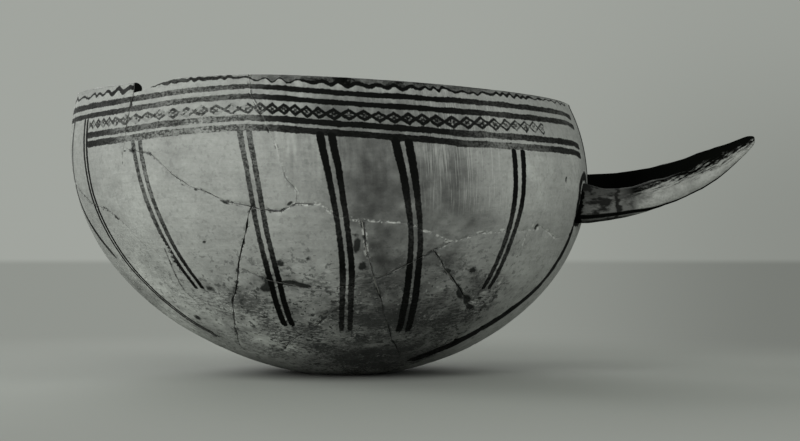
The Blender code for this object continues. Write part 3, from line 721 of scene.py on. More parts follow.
# The outer face, the inner face and the broken edges between them. The outer face is the patch, moved out by
# the unevenness. The inner one lies a wall's thickness inside. The rim's edge is half an oval between them.
def makeSherd(name, sides):
    chipped = sides.get("chipped", False)
    hasRim = name.startswith("rim")
    spacing = sides.get("spacing", grid["spacing"])
    wide = max(sideLength(sides["bottom"]), sideLength(sides["top"]))
    high = max(sideLength(sides["left"]), sideLength(sides["right"]))
    countX, countY = max(int(wide / spacing), 12), max(int(high / spacing), 12)
    u, v = np.meshgrid(crowded(countX), crowded(countY), indexing="ij")
    # The spans in millimetres along each row and column, for the gap at each end of them
    rowSpan = np.linalg.norm(
        wallPoint(*alongSide(sides["right"], v)[..., :2].transpose(2, 0, 1))
        - wallPoint(*alongSide(sides["left"], v)[..., :2].transpose(2, 0, 1)), axis=-1)
    rowSpan = np.maximum(rowSpan, 3) * 1.05
    columnSpan = np.linalg.norm(
        wallPoint(*alongSide(sides["top"], u)[..., :2].transpose(2, 0, 1))
        - wallPoint(*alongSide(sides["bottom"], u)[..., :2].transpose(2, 0, 1)), axis=-1)
    columnSpan = np.maximum(columnSpan, 3)
    edge = {key: alongSide(sides[key], v if key in ("left", "right") else u)
            for key in ("bottom", "right", "top", "left")}
    gap, edgeWear, broken = {}, {}, {}
    for key, values in edge.items():
        at = wallPoint(values[..., 0], values[..., 1])
        gap[key] = values[..., 2] * (0.85 + 0.6 * noise(at, 3.0, 21) + 0.3 * noise(at, 1.2, 22))
        edgeWear[key] = values[..., 3] * np.clip(
            0.7 + 1.3 * noise(at, 3.5, 23) + 0.8 * noise(at, 1.5, 24), 0, 3)
        broken[key] = 0.0 if key == "top" and hasRim else 1.0
    across = gap["left"] / rowSpan + u * (1 - (gap["left"] + gap["right"]) / rowSpan)
    up = gap["bottom"] / columnSpan + v * (1 - (gap["bottom"] + gap["top"]) / columnSpan)
    place = patch(sides, across, up)
    bearing, climb = wander(place[..., 0], place[..., 1])
    distance = {"left": u * rowSpan, "right": (1 - u) * rowSpan, "bottom": v * columnSpan,
                "top": (1 - v) * columnSpan}
    joinDistance = np.minimum.reduce([np.where(broken[key] > 0, distance[key], 99) for key in distance])
    nearest = np.argmin([np.where(broken[key] > 0, distance[key], 99) for key in distance], axis=0)
    openness = np.choose(nearest, [gap[key] for key in distance])
    edgeLoss = sum(broken[key] * edgeWear[key] * np.exp(-distance[key] / 0.55) for key in distance)
    base = wallPoint(bearing, climb)
    off = unevenness(bearing, climb, base) - edgeLoss
    rough = smooth(-climb, -70, -50) * np.minimum(noise(base, 3.2, 31) + 0.5 * noise(base, 1.7, 32) + 0.25, 0)
    pit = sum(-0.5 * np.exp(-np.sum((base - wallPoint(row[0], row[1])) ** 2, axis=-1) / row[2] ** 2)
              for row in marks if row[5] >= 1.5)
    outer = wallPoint(bearing, climb, off + 0.28 * rough + pit)
    outer[..., 2] = np.maximum(outer[..., 2], 0.0)
    innerOff = -thickness(climb) + 0.3 * noise(base, 28.0, 41) + 0.08 * noise(base, 6.0, 42)
    inner = wallPoint(bearing, climb, innerOff)
    drop = chipDrop(place[..., 0], chipped)
    lip = np.clip(1 - drop / bowl["lipRise"], 0, 1) if hasRim else np.zeros(u.shape)

    count = countX * countY
    index = np.arange(count).reshape(countX, countY)
    loop = sideLoop(index)
    onTop = np.zeros(count, bool)
    onTop[index[:, -1]] = True
    start, end = outer.reshape(-1, 3)[loop], inner.reshape(-1, 3)[loop]
    loopLip = lip.ravel()[loop] * onTop[loop]
    corner = np.isin(loop, [index[0, -1], index[-1, -1]])
    rings, ringClimbs = [], []
    for ring in range(1, grid["edgeRings"] + 1):
        angle = math.pi * ring / (grid["edgeRings"] + 1)
        share = np.where(loopLip > 0, (1 - math.cos(angle)) / 2, ring / (grid["edgeRings"] + 1))[:, None]
        at = start * (1 - share) + end * share
        at[:, 2] += bowl["lipRise"] * loopLip * math.sin(angle) ** bowl["lipPower"]
        crumble = grid["breakRough"] * math.sin(angle) * (1 - (loopLip > 0.3))
        at += breakNoise(at) * crumble[:, None] * 0.5
        rings.append(at)
        # On the lip the climb runs on to its top, and past it on the inner half
        rise = bowl["lipRise"] * math.sin(angle) ** bowl["lipPower"]
        over = rise if angle <= math.pi / 2 else 2 * bowl["lipRise"] - rise
        ringClimbs.append(climb.ravel()[loop] + over * loopLip * climbPerMm)
    points = np.concatenate([outer.reshape(-1, 3), inner.reshape(-1, 3), *rings])
    faces = [gridFaces(index), gridFaces(index)[:, ::-1] + count] + edgeFaces(loop, count)
    allBearing = np.concatenate([bearing.ravel()] * 2 + [bearing.ravel()[loop]] * grid["edgeRings"])
    allClimb = np.concatenate([climb.ravel()] * 2 + ringClimbs)
    edgeKind = np.where((loopLip > 0.3) & ~corner, 0.0, 2.0)
    kind = np.concatenate([np.zeros(count), np.ones(count)] + [edgeKind] * grid["edgeRings"])
    allJoin = np.concatenate([joinDistance.ravel()] * 2 + [joinDistance.ravel()[loop]] * grid["edgeRings"])
    allOpen = np.concatenate([openness.ravel()] * 2 + [openness.ravel()[loop]] * grid["edgeRings"])
    # The broken end beside the missing flake is black: stained, and painted shade on a face turned from the
    # light
    stainAndPaintedShade = (kind > 1.5) * smooth(allClimb, 101.5, 103.0) * (name == "rim_left")
    stainAndPaintedShade *= smooth(allBearing, -136.5, -136.0)
    attributes = wallAttributes(allBearing, allClimb, kind, allJoin, allOpen, stainAndPaintedShade)
    return makePiece(name, "Sherd", points, np.concatenate(faces).tolist(), attributes, materials["slip"],
                     50)


# The foot: rings from its middle out to the foot ring, flat below, with the inner face above.
def makeFoot():
    ringCount, roundCount = 46, 300
    share = np.linspace(0, 1, ringCount + 1)[1:]
    bearings = np.linspace(-210, 150, roundCount, endpoint=False)
    edgeLine = np.array(joins["footRing"], float)
    edgeClimb = np.interp(bearings, edgeLine[:, 0], edgeLine[:, 1])
    bearing, part = np.meshgrid(bearings, share, indexing="ij")
    climb = edgeClimb[:, None] * part
    fade = smooth(part, 0.6, 1.0)
    moved = wander(bearing, climb)
    gap = math.degrees(joinEdges["footRing"][0][1] / bowl["girthRadius"])
    bearing, climb = bearing + (moved[0] - bearing) * fade, climb + (moved[1] - climb) * fade - gap * fade
    base = wallPoint(bearing, climb)
    off = unevenness(bearing, climb, base) * fade - 0.1 * smooth(part, 0.98, 1.0)
    outer = wallPoint(bearing, climb, off)
    outer[..., 2] = np.maximum(outer[..., 2], 0.0)
    inner = wallPoint(bearing, climb, -thickness(climb) + 0.1 * noise(base, 8.0, 42))
    count = roundCount * ringCount
    index = np.arange(count).reshape(roundCount, ringCount)
    wrapped = np.concatenate([index, index[:1]])
    loop = index[::-1, -1]
    start, end = outer.reshape(-1, 3)[loop], inner.reshape(-1, 3)[loop]
    rings = []
    for ring in range(1, grid["edgeRings"] + 1):
        along = ring / (grid["edgeRings"] + 1)
        at = start * (1 - along) + end * along
        at += breakNoise(at) * 0.12 * math.sin(math.pi * along)
        rings.append(at)
    middleOuter = np.array([[wallPoint(0.0, 0.0)[0], 0.0, 0.0]])
    middleInner = wallPoint(np.zeros(1), np.zeros(1), -thickness(np.zeros(1)))
    points = np.concatenate([outer.reshape(-1, 3), inner.reshape(-1, 3), *rings, middleOuter, middleInner])
    faces = [gridFaces(wrapped), gridFaces(wrapped)[:, ::-1] + count] + edgeFaces(loop, count)
    lastPoint = len(points)
    fans = [[lastPoint - 2, int(index[k, 0]), int(wrapped[k + 1, 0])] for k in range(roundCount)]
    fans += [[lastPoint - 1, int(wrapped[k + 1, 0]) + count, int(index[k, 0]) + count]
             for k in range(roundCount)]
    size = len(points)
    allBearing, allClimb = np.zeros(size), np.zeros(size)
    allBearing[:2 * count], allClimb[:2 * count] = np.tile(bearing.ravel(), 2), np.tile(climb.ravel(), 2)
    ringPart = slice(2 * count, 2 * count + grid["edgeRings"] * roundCount)
    allBearing[ringPart] = np.tile(bearing.ravel()[loop], grid["edgeRings"])
    allClimb[ringPart] = np.tile(climb.ravel()[loop], grid["edgeRings"])
    kind = np.zeros(size)
    kind[count:2 * count], kind[ringPart], kind[-1] = 1, 2, 1
    join = np.full(size, 99.0)
    join[:2 * count] = np.tile(((1 - part) * 50).ravel(), 2)
    join[ringPart] = 0
    attributes = wallAttributes(allBearing, allClimb, kind, join, np.zeros(size), np.zeros(size))
    return makePiece("foot", "Sherd", points, np.concatenate(faces).tolist() + fans, attributes,
                     materials["slip"], 50)


# The filler

fillForm = {"half": 0.20, "end": (-98.8, 85.5), "rows": 90, "columns": 7, "proud": -0.05}


# A strip along the wide join: the join's line, moved half the strip's width to either side.
def makeFiller():
    line = toRim("filled", (-98.5, 84), (-104.5, 103), rimBearings["filled"])
    line[0] = (*fillForm["end"], 0, 0)
    up = np.linspace(0, 1, fillForm["rows"])
    middle = alongSide(line, up)
    ahead = np.gradient(middle[:, 0]), np.gradient(middle[:, 1])
    size = np.hypot(ahead[0] * 0.98, ahead[1])
    side = np.linspace(-1, 1, fillForm["columns"])[:, None] * fillForm["half"]
    taper = np.clip(up * 12, 0.15, 1)
    bearing = middle[:, 0] + np.degrees(side * taper * (ahead[1] / size) / bowl["girthRadius"])
    climb = (middle[:, 1] - np.degrees(side * taper * (ahead[0] / size) / bowl["girthRadius"])
             * (1 - smooth(up, 0.9, 1.0)))
    bearing, climb = wander(bearing, climb)
    base = wallPoint(bearing, climb)
    off = unevenness(bearing, climb, base)
    outer = wallPoint(bearing, climb, off + fillForm["proud"] + 0.12 * noise(base, 2.0, 61))
    inner = wallPoint(bearing, climb, -thickness(climb) + 0.1 * noise(base, 3.0, 62))
    countX, countY = bearing.shape
    count = countX * countY
    index = np.arange(count).reshape(countX, countY)
    loop = sideLoop(index)
    onTop = np.zeros(count, bool)
    onTop[index[:, -1]] = True
    start, end = outer.reshape(-1, 3)[loop], inner.reshape(-1, 3)[loop]
    rings = []
    for ring in range(1, grid["edgeRings"] + 1):
        angle = math.pi * ring / (grid["edgeRings"] + 1)
        share = np.where(onTop[loop], (1 - math.cos(angle)) / 2, ring / (grid["edgeRings"] + 1))[:, None]
        at = start * (1 - share) + end * share
        at[:, 2] += 0.9 * bowl["lipRise"] * onTop[loop] * math.sin(angle)
        rings.append(at)
    points = np.concatenate([outer.reshape(-1, 3), inner.reshape(-1, 3), *rings])
    faces = [gridFaces(index), gridFaces(index)[:, ::-1] + count] + edgeFaces(loop, count)
    allBearing = np.concatenate([bearing.ravel()] * 2 + [bearing.ravel()[loop]] * grid["edgeRings"])
    allClimb = np.concatenate([climb.ravel()] * 2 + [climb.ravel()[loop]] * grid["edgeRings"])
    kind = np.concatenate([np.zeros(count), np.ones(count), np.zeros(len(points) - 2 * count)])
    blank = np.zeros(len(points))
    attributes = wallAttributes(allBearing, allClimb, kind, blank + 5, blank, blank)
    return makePiece("joint_filler", "Strip", points, np.concatenate(faces).tolist(), attributes,
                     materials["filler"], 50)


# The handle

handle = {
    "rootX": 88.8, "tip": 62.5, "rootHeight": 65.2, "tipRise": 20.3, "slope": 0.012, "roll": 0.10,
    # Half the faces round an arm, steps per hundredth of a turn, and the turn at which the near arm is mended
    "round": 40, "stepRate": 1.7, "mendTurn": 0.845, "mendGap": 0.001,
    # Outlines in plan of the far arm, from its root to the middle line; the near arm is their mirror
    "outer": [(80, 32.4), (88.8, 32.3), (95, 31.8), (101, 30.2), (107, 27.6), (112.8, 24.3), (118.5, 20.2),
              (124.2, 15.2), (129.0, 10.9), (133.5, 7.5), (138.5, 5.3), (144, 3.8), (149, 2.4), (151.2, 1.2),
              (151.5, 0)],
    "inner": [(80, 23.6), (88.8, 23.7), (94, 23.3), (99, 22.2), (103.6, 20.3), (108.2, 17.5), (112.8, 14.0),
              (117.0, 10.2), (120.2, 7.2), (123.0, 4.6), (125.0, 2.7), (126.2, 1.5), (126.9, 0.75),
              (127.2, 0.3), (127.3, 0)],
    "heightX": [80, 86, 90, 96, 104, 109, 115, 121, 126, 131, 137, 143, 148, 151.5],
    "height": [7.6, 7.2, 6.6, 6.2, 5.75, 5.6, 5.35, 5.7, 6.0, 6.4, 5.7, 4.4, 3.45, 2.6],
    # The upper half stands higher by this, and the tip curls up by this
    "liftX": [96, 104, 114, 122, 130, 138], "lift": [0, 0.1, 0.5, 0.5, 0.1, 0],
    "curlX": [136, 143, 149, 151.5], "curl": [0, 0.35, 0.8, 0.7],
    # The near arm's upper edge lies lower than the far arm's by this
    "dropX": [80, 86, 92, 104, 112, 120, 128, 134, 140], "drop": [0, 0.6, 1.6, 1.5, 1.0, 1.7, 2.2, 1.2, 0],
}


# A smooth line through points, read at shares of its corner numbers (a Catmull-Rom cubic between each pair).
def smoothLine(points, share):
    points = np.array(points, float)
    at = np.clip(share, 0, 1) * (len(points) - 1)
    low = np.minimum(at.astype(int), len(points) - 2)
    t = (at - low)[..., None]
    p0, p1 = points[np.maximum(low - 1, 0)], points[low]
    p2, p3 = points[low + 1], points[np.minimum(low + 2, len(points) - 1)]
    return 0.5 * (2 * p1 + (p2 - p0) * t + (2 * p0 - 5 * p1 + 4 * p2 - p3) * t**2
                  + (3 * p1 - p0 - 3 * p2 + p3) * t**3)


# Height of the handle's middle: root height + slope * the way past the root, bent up with the square of that
# way's share of the whole, so that the tip stands higher by the tip's rise.
def handleRise(x):
    away = (x - handle["rootX"]) / handle["tip"]
    straight = handle["slope"] * handle["tip"]
    return handle["rootHeight"] + straight * away + (handle["tipRise"] - straight) * away * away


# A loft round the wishbone. At each step an upright section, |p|^n + |q|^n = 1, spans from the inner to the
# outer outline, and n grows with the span. Heights follow the tables, and the outer face is hollowed.
def handlePoints(turn, around):
    share = 1 - np.abs(turn)
    far = np.sign(turn) + (turn == 0)
    outer, inner = smoothLine(handle["outer"], share), smoothLine(handle["inner"], share)
    outer[..., 1] *= far
    inner[..., 1] *= far
    span = np.linalg.norm(outer - inner, axis=-1)
    power = 2.3 + 0.09 * np.clip(span - 9, 0, 20)
    p = np.sign(np.cos(around)) * np.abs(np.cos(around)) ** (2 / power)
    q = np.sign(np.sin(around)) * np.abs(np.sin(around)) ** (2 / power)
    drop = np.interp(np.abs(outer[..., 0]), handle["dropX"], handle["drop"]) * smooth(-turn, 0.15, 0.45)
    drop = drop - np.interp(outer[..., 0], handle["liftX"], handle["lift"])
    hollow = 0.20 * np.where(p > 0, p, 0) * (1 - q * q) ** 2 * smooth(-span, -16, -10)
    plan = inner + (outer - inner) * ((p - hollow) / 2 + 0.5)[..., None]
    height = np.interp(plan[..., 0], handle["heightX"], handle["height"])
    rise = handleRise(plan[..., 0]) + np.interp(plan[..., 0], handle["curlX"], handle["curl"])
    rise = rise + handle["roll"] * plan[..., 1] + q * (height - np.where(q > 0, drop, 0))
    points = np.concatenate([plan, rise[..., None]], axis=-1)
    bumps = 0.22 * noise(points, 9.0, 71) + 0.08 * noise(points, 3.0, 72)
    middle = (inner + outer) / 2
    away = np.concatenate([plan - middle, (q * height)[..., None]], axis=-1)
    away /= np.maximum(np.linalg.norm(away, axis=-1, keepdims=True), 1e-6)
    return points + away * bumps[..., None], p, q


# The part of the handle from one turn to another; -1 is the near root, 0 the tip and 1 the far root.
def makeHandlePiece(name, start, end, openStart, openEnd):
    steps = int(abs(end - start) * 100 * handle["stepRate"])
    turn, around = np.meshgrid(
        np.linspace(start, end, steps), np.linspace(0, 2 * math.pi, handle["round"] * 2, endpoint=False),
        indexing="ij")
    points, p, q = handlePoints(turn, around)
    # Ragged ends where the arm is broken
    for row, broken in ((0, openStart), (-1, openEnd)):
        if broken:
            depth = np.exp(-np.abs(np.arange(steps) - (0 if row == 0 else steps - 1)) / 3.0)[:, None]
            points[..., 0] += depth * 0.5 * noise(points * [0, 1, 1], 2.2, 73)
    ringCount = points.shape[1]
    index = np.arange(steps * ringCount).reshape(steps, ringCount)
    wrapped = np.concatenate([index, index[:, :1]], axis=1)
    faces = gridFaces(wrapped)
    ends = []
    extra = []
    attribute = np.stack([points[..., 0], q, p], axis=-1).reshape(-1, 3)
    total = steps * ringCount
    for row, order in ((0, 1), (-1, -1)):
        middle = points[row].mean(axis=0)
        extra.append(middle)
        hub = total + len(extra) - 1
        a, b = index[row], np.roll(index[row], -1)
        ends += [[hub, int(i), int(j)] if order > 0 else [hub, int(j), int(i)] for i, j in zip(a, b)]
    allPoints = np.concatenate([points.reshape(-1, 3), np.array(extra)])
    attribute = np.concatenate([attribute, np.array([[e[0], 0, 0] for e in extra])])
    kind = np.zeros(len(allPoints))
    kind[-2:] = 2
    side = np.concatenate([np.sign(turn).ravel(), [np.sign(start), np.sign(end)]])
    skin = np.stack([kind, side, np.zeros(len(side))], axis=-1)
    return makePiece(name, "Arm", allPoints, faces.tolist() + ends,
                     {"handlePlace": attribute, "handleSkin": skin}, materials["handle"], 45)


# Finishes

finish = {
    "slip": (0.250, 0.261, 0.242), "slipDark": (0.022, 0.024, 0.022), "slipPale": (0.40, 0.415, 0.385),
    "paint": (0.0020, 0.0023, 0.0019), "clay": (0.055, 0.058, 0.052), "stain": (0.008, 0.009, 0.008),
    "inside": (0.235, 0.24, 0.218), "filler": (0.30, 0.31, 0.287), "handle": (0.232, 0.241, 0.222),
}


# A short way to wire a material: every method adds a node and returns its output.
class Wiring:
    def __init__(self, name):
        self.material = bpy.data.materials.new(name)
        self.material.use_nodes = True
        self.nodes = self.material.node_tree.nodes
        self.links = self.material.node_tree.links
        self.shader = self.nodes["Principled BSDF"]

    def feed(self, socket, value):
        if isinstance(value, bpy.types.NodeSocket):
            self.links.new(value, socket)
        elif value is not None:
            isColour = isinstance(value, tuple) and len(value) == 3 and socket.type == "RGBA"
            socket.default_value = (*value, 1) if isColour else value

    def math(self, operation, first, second=None, third=None, clamp=False):
        node = self.nodes.new("ShaderNodeMath")
        node.operation = operation
        node.use_clamp = clamp
        for socket, value in zip(node.inputs, (first, second, third)):
            self.feed(socket, value)
        return node.outputs[0]

    def add(self, *values):
        total = values[0]
        for value in values[1:]:
            total = self.math("ADD", total, value)
        return total

    def times(self, *values):
        total = values[0]
        for value in values[1:]:
            total = self.math("MULTIPLY", total, value)
        return total

    def less(self, first, second):
        return self.math("SUBTRACT", first, second)

    def size(self, value):
        return self.math("ABSOLUTE", value)

    def least(self, *values):
        total = values[0]
        for value in values[1:]:
            total = self.math("MINIMUM", total, value)
        return total

    def most(self, first, second):
        return self.math("MAXIMUM", first, second)

    def ease(self, value, low, high, start=0.0, end=1.0):
        node = self.nodes.new("ShaderNodeMapRange")
        node.interpolation_type = "SMOOTHSTEP"
        for socket, each in zip(node.inputs, (value, low, high, start, end)):
            self.feed(socket, each)
        return node.outputs[0]

    def parts(self, name):
        layer = self.nodes.new("ShaderNodeAttribute")
        layer.attribute_name = name
        split = self.nodes.new("ShaderNodeSeparateXYZ")
        self.links.new(layer.outputs["Vector"], split.inputs[0])
        return split.outputs[0], split.outputs[1], split.outputs[2]

    def place(self):
        return self.nodes.new("ShaderNodeTexCoord").outputs["Object"]

    def joined(self, x, y, z):
        node = self.nodes.new("ShaderNodeCombineXYZ")
        for socket, value in zip(node.inputs, (x, y, z)):
            self.feed(socket, value)
        return node.outputs[0]

    def scaled(self, vector, amounts):
        node = self.nodes.new("ShaderNodeVectorMath")
        node.operation = "MULTIPLY"
        self.feed(node.inputs[0], vector)
        node.inputs[1].default_value = amounts
        return node.outputs[0]

    # Fractal noise spread to about 0 to 1
    def cloud(self, vector, scale, detail=3.0, roughness=0.55):
        node = self.nodes.new("ShaderNodeTexNoise")
        self.feed(node.inputs["Vector"], vector)
        node.inputs["Scale"].default_value = scale
        node.inputs["Detail"].default_value = detail
        node.inputs["Roughness"].default_value = roughness
        return self.ease(node.outputs["Fac"], 0.25, 0.75)

    def mixed(self, share, first, second):
        node = self.nodes.new("ShaderNodeMix")
        node.data_type = "RGBA"
        self.feed(node.inputs["Factor"], share)
        # Sockets 6 and 7 are the two colours
        self.feed(node.inputs[6], first)
        self.feed(node.inputs[7], second)
        return node.outputs[2]

    def shaded(self, colour, amount):
        node = self.nodes.new("ShaderNodeVectorMath")
        node.operation = "SCALE"
        self.feed(node.inputs[0], colour)
        self.feed(node.inputs["Scale"], amount)
        return node.outputs[0]

    def finishWith(self, colour, roughness, height, depth):
        bump = self.nodes.new("ShaderNodeBump")
        bump.inputs["Distance"].default_value = depth
        self.feed(bump.inputs["Height"], height)
        self.feed(self.shader.inputs["Base Color"], colour)
        self.feed(self.shader.inputs["Roughness"], roughness)
        self.links.new(bump.outputs[0], self.shader.inputs["Normal"])
        return self.material


# The slip with its painting; on the filler of the wide join it is paler, and less of the paint crosses it.
def makeSlip(name, base, covering):
    w = Wiring(name)
    arc, depth, upAt = w.parts("bandPlace")
    bandsOn, panelOn, chainOn = w.parts("bandShow")
    upperLoss, thirdLoss, fourthLoss = w.parts("bandLoss")
    waveDepth, waveSwing, waveHalf = w.parts("waveForm")
    wave, chainAt, chainLoss = w.parts("counts")
    chainDepth, chainHalf, chainWide = w.parts("chain")
    signed, plain, apart = w.parts("stroke")
    half, strokeLoss, scratch = w.parts("strokeForm")
    tone, joinDistance, eroded = w.parts("tone")
    stain, drip, rootAway = w.parts("mark")
    kind, wash, stainAndPaintedShade = w.parts("skin")
    paleJoin, rimEdge, openness = w.parts("edge")
    place = w.place()
    flow = w.joined(arc, depth, upAt)
    onWall = w.joined(arc, upAt, 0.0)

    # Slip: broad clouds, brushed level streaks, fine grain, and the drawn tones, which carry stains and also
    # painted light and shade
    broad = w.cloud(place, 30, 3)
    middle = w.cloud(w.scaled(place, (1, 1, 1.5)), 110, 5, 0.62)
    grain = w.cloud(place, 900, 2, 0.6)
    level = w.cloud(w.scaled(onWall, (0.10, 0.9, 1)), 0.7, 4, 0.6)
    drips = w.cloud(w.scaled(onWall, (0.45, 0.05, 1)), 1.0, 3, 0.6)
    smoke = w.cloud(w.scaled(place, (1, 1, 1.3)), 62, 5, 0.6)
    mottle = w.cloud(w.scaled(place, (1, 1, 1.2)), 190, 4, 0.62)
    # More mottling where the tones darken the slip, by soot and by painted shade alike
    sootAndPaintedShade = w.most(w.less(0.9, tone), 0.0)
    shade = w.add(
        0.90, w.times(w.less(broad, 0.5), 0.16),
        w.times(w.less(middle, 0.5), w.add(0.20, w.times(eroded, 0.25), w.times(sootAndPaintedShade, 0.30))),
        w.times(w.less(grain, 0.5), 0.13),
        w.times(w.less(mottle, 0.5), w.add(0.07, w.times(eroded, 0.32), w.times(sootAndPaintedShade, 0.50))),
        w.times(w.less(level, 0.5), 0.10), w.times(w.less(drips, 0.5), drip, 0.45))
    shade = w.less(shade, w.times(w.ease(smoke, 0.42, 0.92), w.add(0.06, w.times(eroded, 0.42))))
    slip = w.shaded(base, w.times(w.most(shade, 0.05), tone))
    # Bare and stained clay low on the wall: short level hatches in clumps, and pale flecks
    speck = w.cloud(place, 420, 3, 0.7)
    hatch = w.cloud(w.scaled(onWall, (0.30, 1.0, 1)), 1.15, 5, 0.72)
    clump = w.cloud(place, 85, 3, 0.55)
    bare = w.times(
        w.ease(w.add(w.times(hatch, 0.72), w.times(clump, 0.52), w.times(eroded, 0.42)), 0.92, 1.22),
        w.add(w.times(eroded, 0.95), 0.08))
    slip = w.mixed(w.times(bare, 0.85), slip, finish["slipDark"])
    spots = w.times(w.ease(w.cloud(place, 520, 2, 0.6), 0.72, 0.86), w.add(w.times(eroded, 0.85), 0.16))
    slip = w.mixed(spots, slip, finish["slipDark"])
    flecks = w.times(
        w.ease(w.cloud(place, 620, 3, 0.7), 0.70, 0.92), w.ease(w.cloud(place, 130, 2), 0.4, 0.8),
        w.add(w.times(eroded, 0.50), 0.06))
    slip = w.mixed(w.times(flecks, w.least(w.add(tone, 0.25), 1.0)), slip, finish["slipPale"])
    # Pale scratches down the wall
    lines = w.cloud(w.scaled(onWall, (2.6, 0.07, 1)), 1.0, 2)
    slip = w.mixed(w.times(w.ease(lines, 0.60, 0.85), w.times(scratch, 0.30)), slip, finish["slipPale"])
    # Marks, with edges made uneven by two noises
    ragged = w.add(w.times(w.less(speck, 0.5), 0.34), w.times(w.less(mottle, 0.5), 0.36))
    dark = w.ease(w.add(stain, w.times(ragged, w.ease(stain, 0.0, 0.4))), 0.28, 0.78)
    slip = w.mixed(w.times(dark, 0.93), slip, finish["stain"])
    pale = w.ease(w.less(w.times(ragged, w.ease(stain, 0.0, -0.4)), stain), 0.34, 0.80)
    slip = w.mixed(w.times(pale, 0.75), slip, finish["slipPale"])
    # Along the joins: pale filler and dark specks
    nearJoin = w.ease(w.add(joinDistance, w.times(w.less(mottle, 0.5), 0.5)), 0.75, 0.15)
    patchy, crumbs = w.cloud(place, 380, 3, 0.7), w.cloud(place, 900, 2, 0.7)
    slip = w.mixed(
        w.times(nearJoin, w.ease(w.add(w.times(patchy, 0.5), w.times(crumbs, 0.5)), 0.48, 0.70),
                w.add(0.05, w.times(paleJoin, 0.60))),
        slip, finish["slipPale"])
    slip = w.mixed(
        w.times(nearJoin, w.ease(patchy, 0.48, 0.30), w.ease(openness, 0.03, 0.14)), slip, finish["slipDark"])

    # Paint: how far each point lies inside a drawn line, in millimetres
    hand = w.less(w.cloud(w.scaled(flow, (0.09, 0.09, 0)), 1.0, 2), 0.5)
    edgeNoise = w.times(w.less(w.cloud(place, 800, 3, 0.6), 0.5), 0.30)
    swell = w.times(w.less(w.cloud(w.scaled(flow, (0.14, 0, 0)), 1.0, 2), 0.5), 0.28)

    def band(number):
        away = w.size(w.add(depth, w.times(hand, 0.25), -paint["bandDepths"][number]))
        return w.add(w.less(paint["halfWidths"][number], away), swell)

    def only(line, shown):
        return w.less(line, w.times(w.less(1.0, shown), 9.0))

    curl = w.times(w.math("COSINE", w.times(wave, 2 * math.pi)), waveSwing)
    waveAway = w.less(w.add(depth, w.times(hand, 0.3)), w.add(waveDepth, curl))
    waveLine = w.less(waveHalf, w.size(waveAway))
    # Lozenges: |v| + 2|x| = 1 in a cell one lozenge wide, with a small cross in each
    cellX = w.less(w.math("FRACT", chainAt), 0.5)
    cellY = w.math("DIVIDE", w.less(w.add(depth, w.times(hand, 0.5)), chainDepth), chainHalf)
    diamond = w.times(w.size(w.add(w.size(cellY), w.times(w.size(cellX), 2.0), -1.0)), 1.3)
    blob = w.less(0.42, w.size(w.less(w.size(w.times(cellY, 1.5)), w.size(w.times(cellX, 3.4)))))
    inBlob = w.less(0.62, w.add(w.size(cellY), w.times(w.size(cellX), 2.0)))
    chainLine = w.most(w.less(chainWide, diamond), w.least(w.times(blob, 0.35), w.times(inBlob, 0.6)))
    # Strokes down the wall
    reach = w.add(apart, w.most(half, 0.0), 0.8)
    offMiddle = w.size(w.less(w.size(w.add(signed, w.times(hand, 0.12))), apart))
    strokeLine = w.less(w.add(half, w.times(swell, 0.5)), offMiddle)
    strokeLine = w.less(strokeLine, w.times(w.math("GREATER_THAN", plain, reach), 9.0))
    rootLine = w.less(w.add(1.75, w.times(w.less(middle, 0.5), 1.4)), w.size(w.less(rootAway, 0.7)))

    dry = w.cloud(w.scaled(flow, (0.9, 1.3, 1.3)), 0.9, 4, 0.65)
    fleck = w.cloud(place, 1150, 3, 0.7)
    patches = w.cloud(w.scaled(flow, (0.16, 0.3, 0.3)), 1.0, 2)
    grainy = w.add(w.times(dry, 0.40), w.times(fleck, 0.35), w.times(patches, 0.25))

    # Laid paint is its outline, thinned where it is lost: some all over, and more in a grain
    def laid(line, loss):
        cover = w.ease(w.add(line, edgeNoise), -0.14, 0.14)
        thin = w.times(loss, w.ease(grainy, 0.30, 0.70, 0.30, 1.6))
        return w.times(cover, w.less(1.0, w.math("MINIMUM", thin, 1.0)))

    broken = w.ease(w.cloud(w.scaled(flow, (0.32, 0.32, 0)), 1.0, 2), 0.30, 0.46)
    chainKept = w.less(1.0, w.times(w.ease(chainLoss, 0.03, 0.15), w.less(1.0, broken), 0.70))
    # A thin wash above the wavy line, and a dark edge along the top of the rim
    washed = w.times(wash, w.ease(waveAway, 0.25, -0.1), w.ease(depth, -0.6, 0.1),
                     w.add(0.55, w.times(patches, 0.45), w.times(fleck, 0.3)))
    topEdge = w.times(w.ease(w.size(w.less(depth, 0.25)), 0.62, 0.30), rimEdge,
                      w.ease(patches, 0.2, 0.5, 0.55, 0.95))
    painted = [
        laid(only(w.most(band(0), band(1)), bandsOn), upperLoss),
        laid(only(band(2), panelOn), thirdLoss), laid(only(band(3), panelOn), fourthLoss),
        laid(only(waveLine, bandsOn), w.times(upperLoss, 0.35)),
        w.times(laid(only(chainLine, chainOn), chainLoss), chainKept),
        laid(strokeLine, strokeLoss), laid(rootLine, 0.02), w.times(w.most(washed, topEdge), bandsOn),
    ]
    covered = painted[0]
    for layer in painted[1:]:
        covered = w.most(covered, layer)
    covered = w.times(covered, w.ease(kind, 0.6, 0.3), covering)
    outer = w.mixed(covered, slip, finish["paint"])

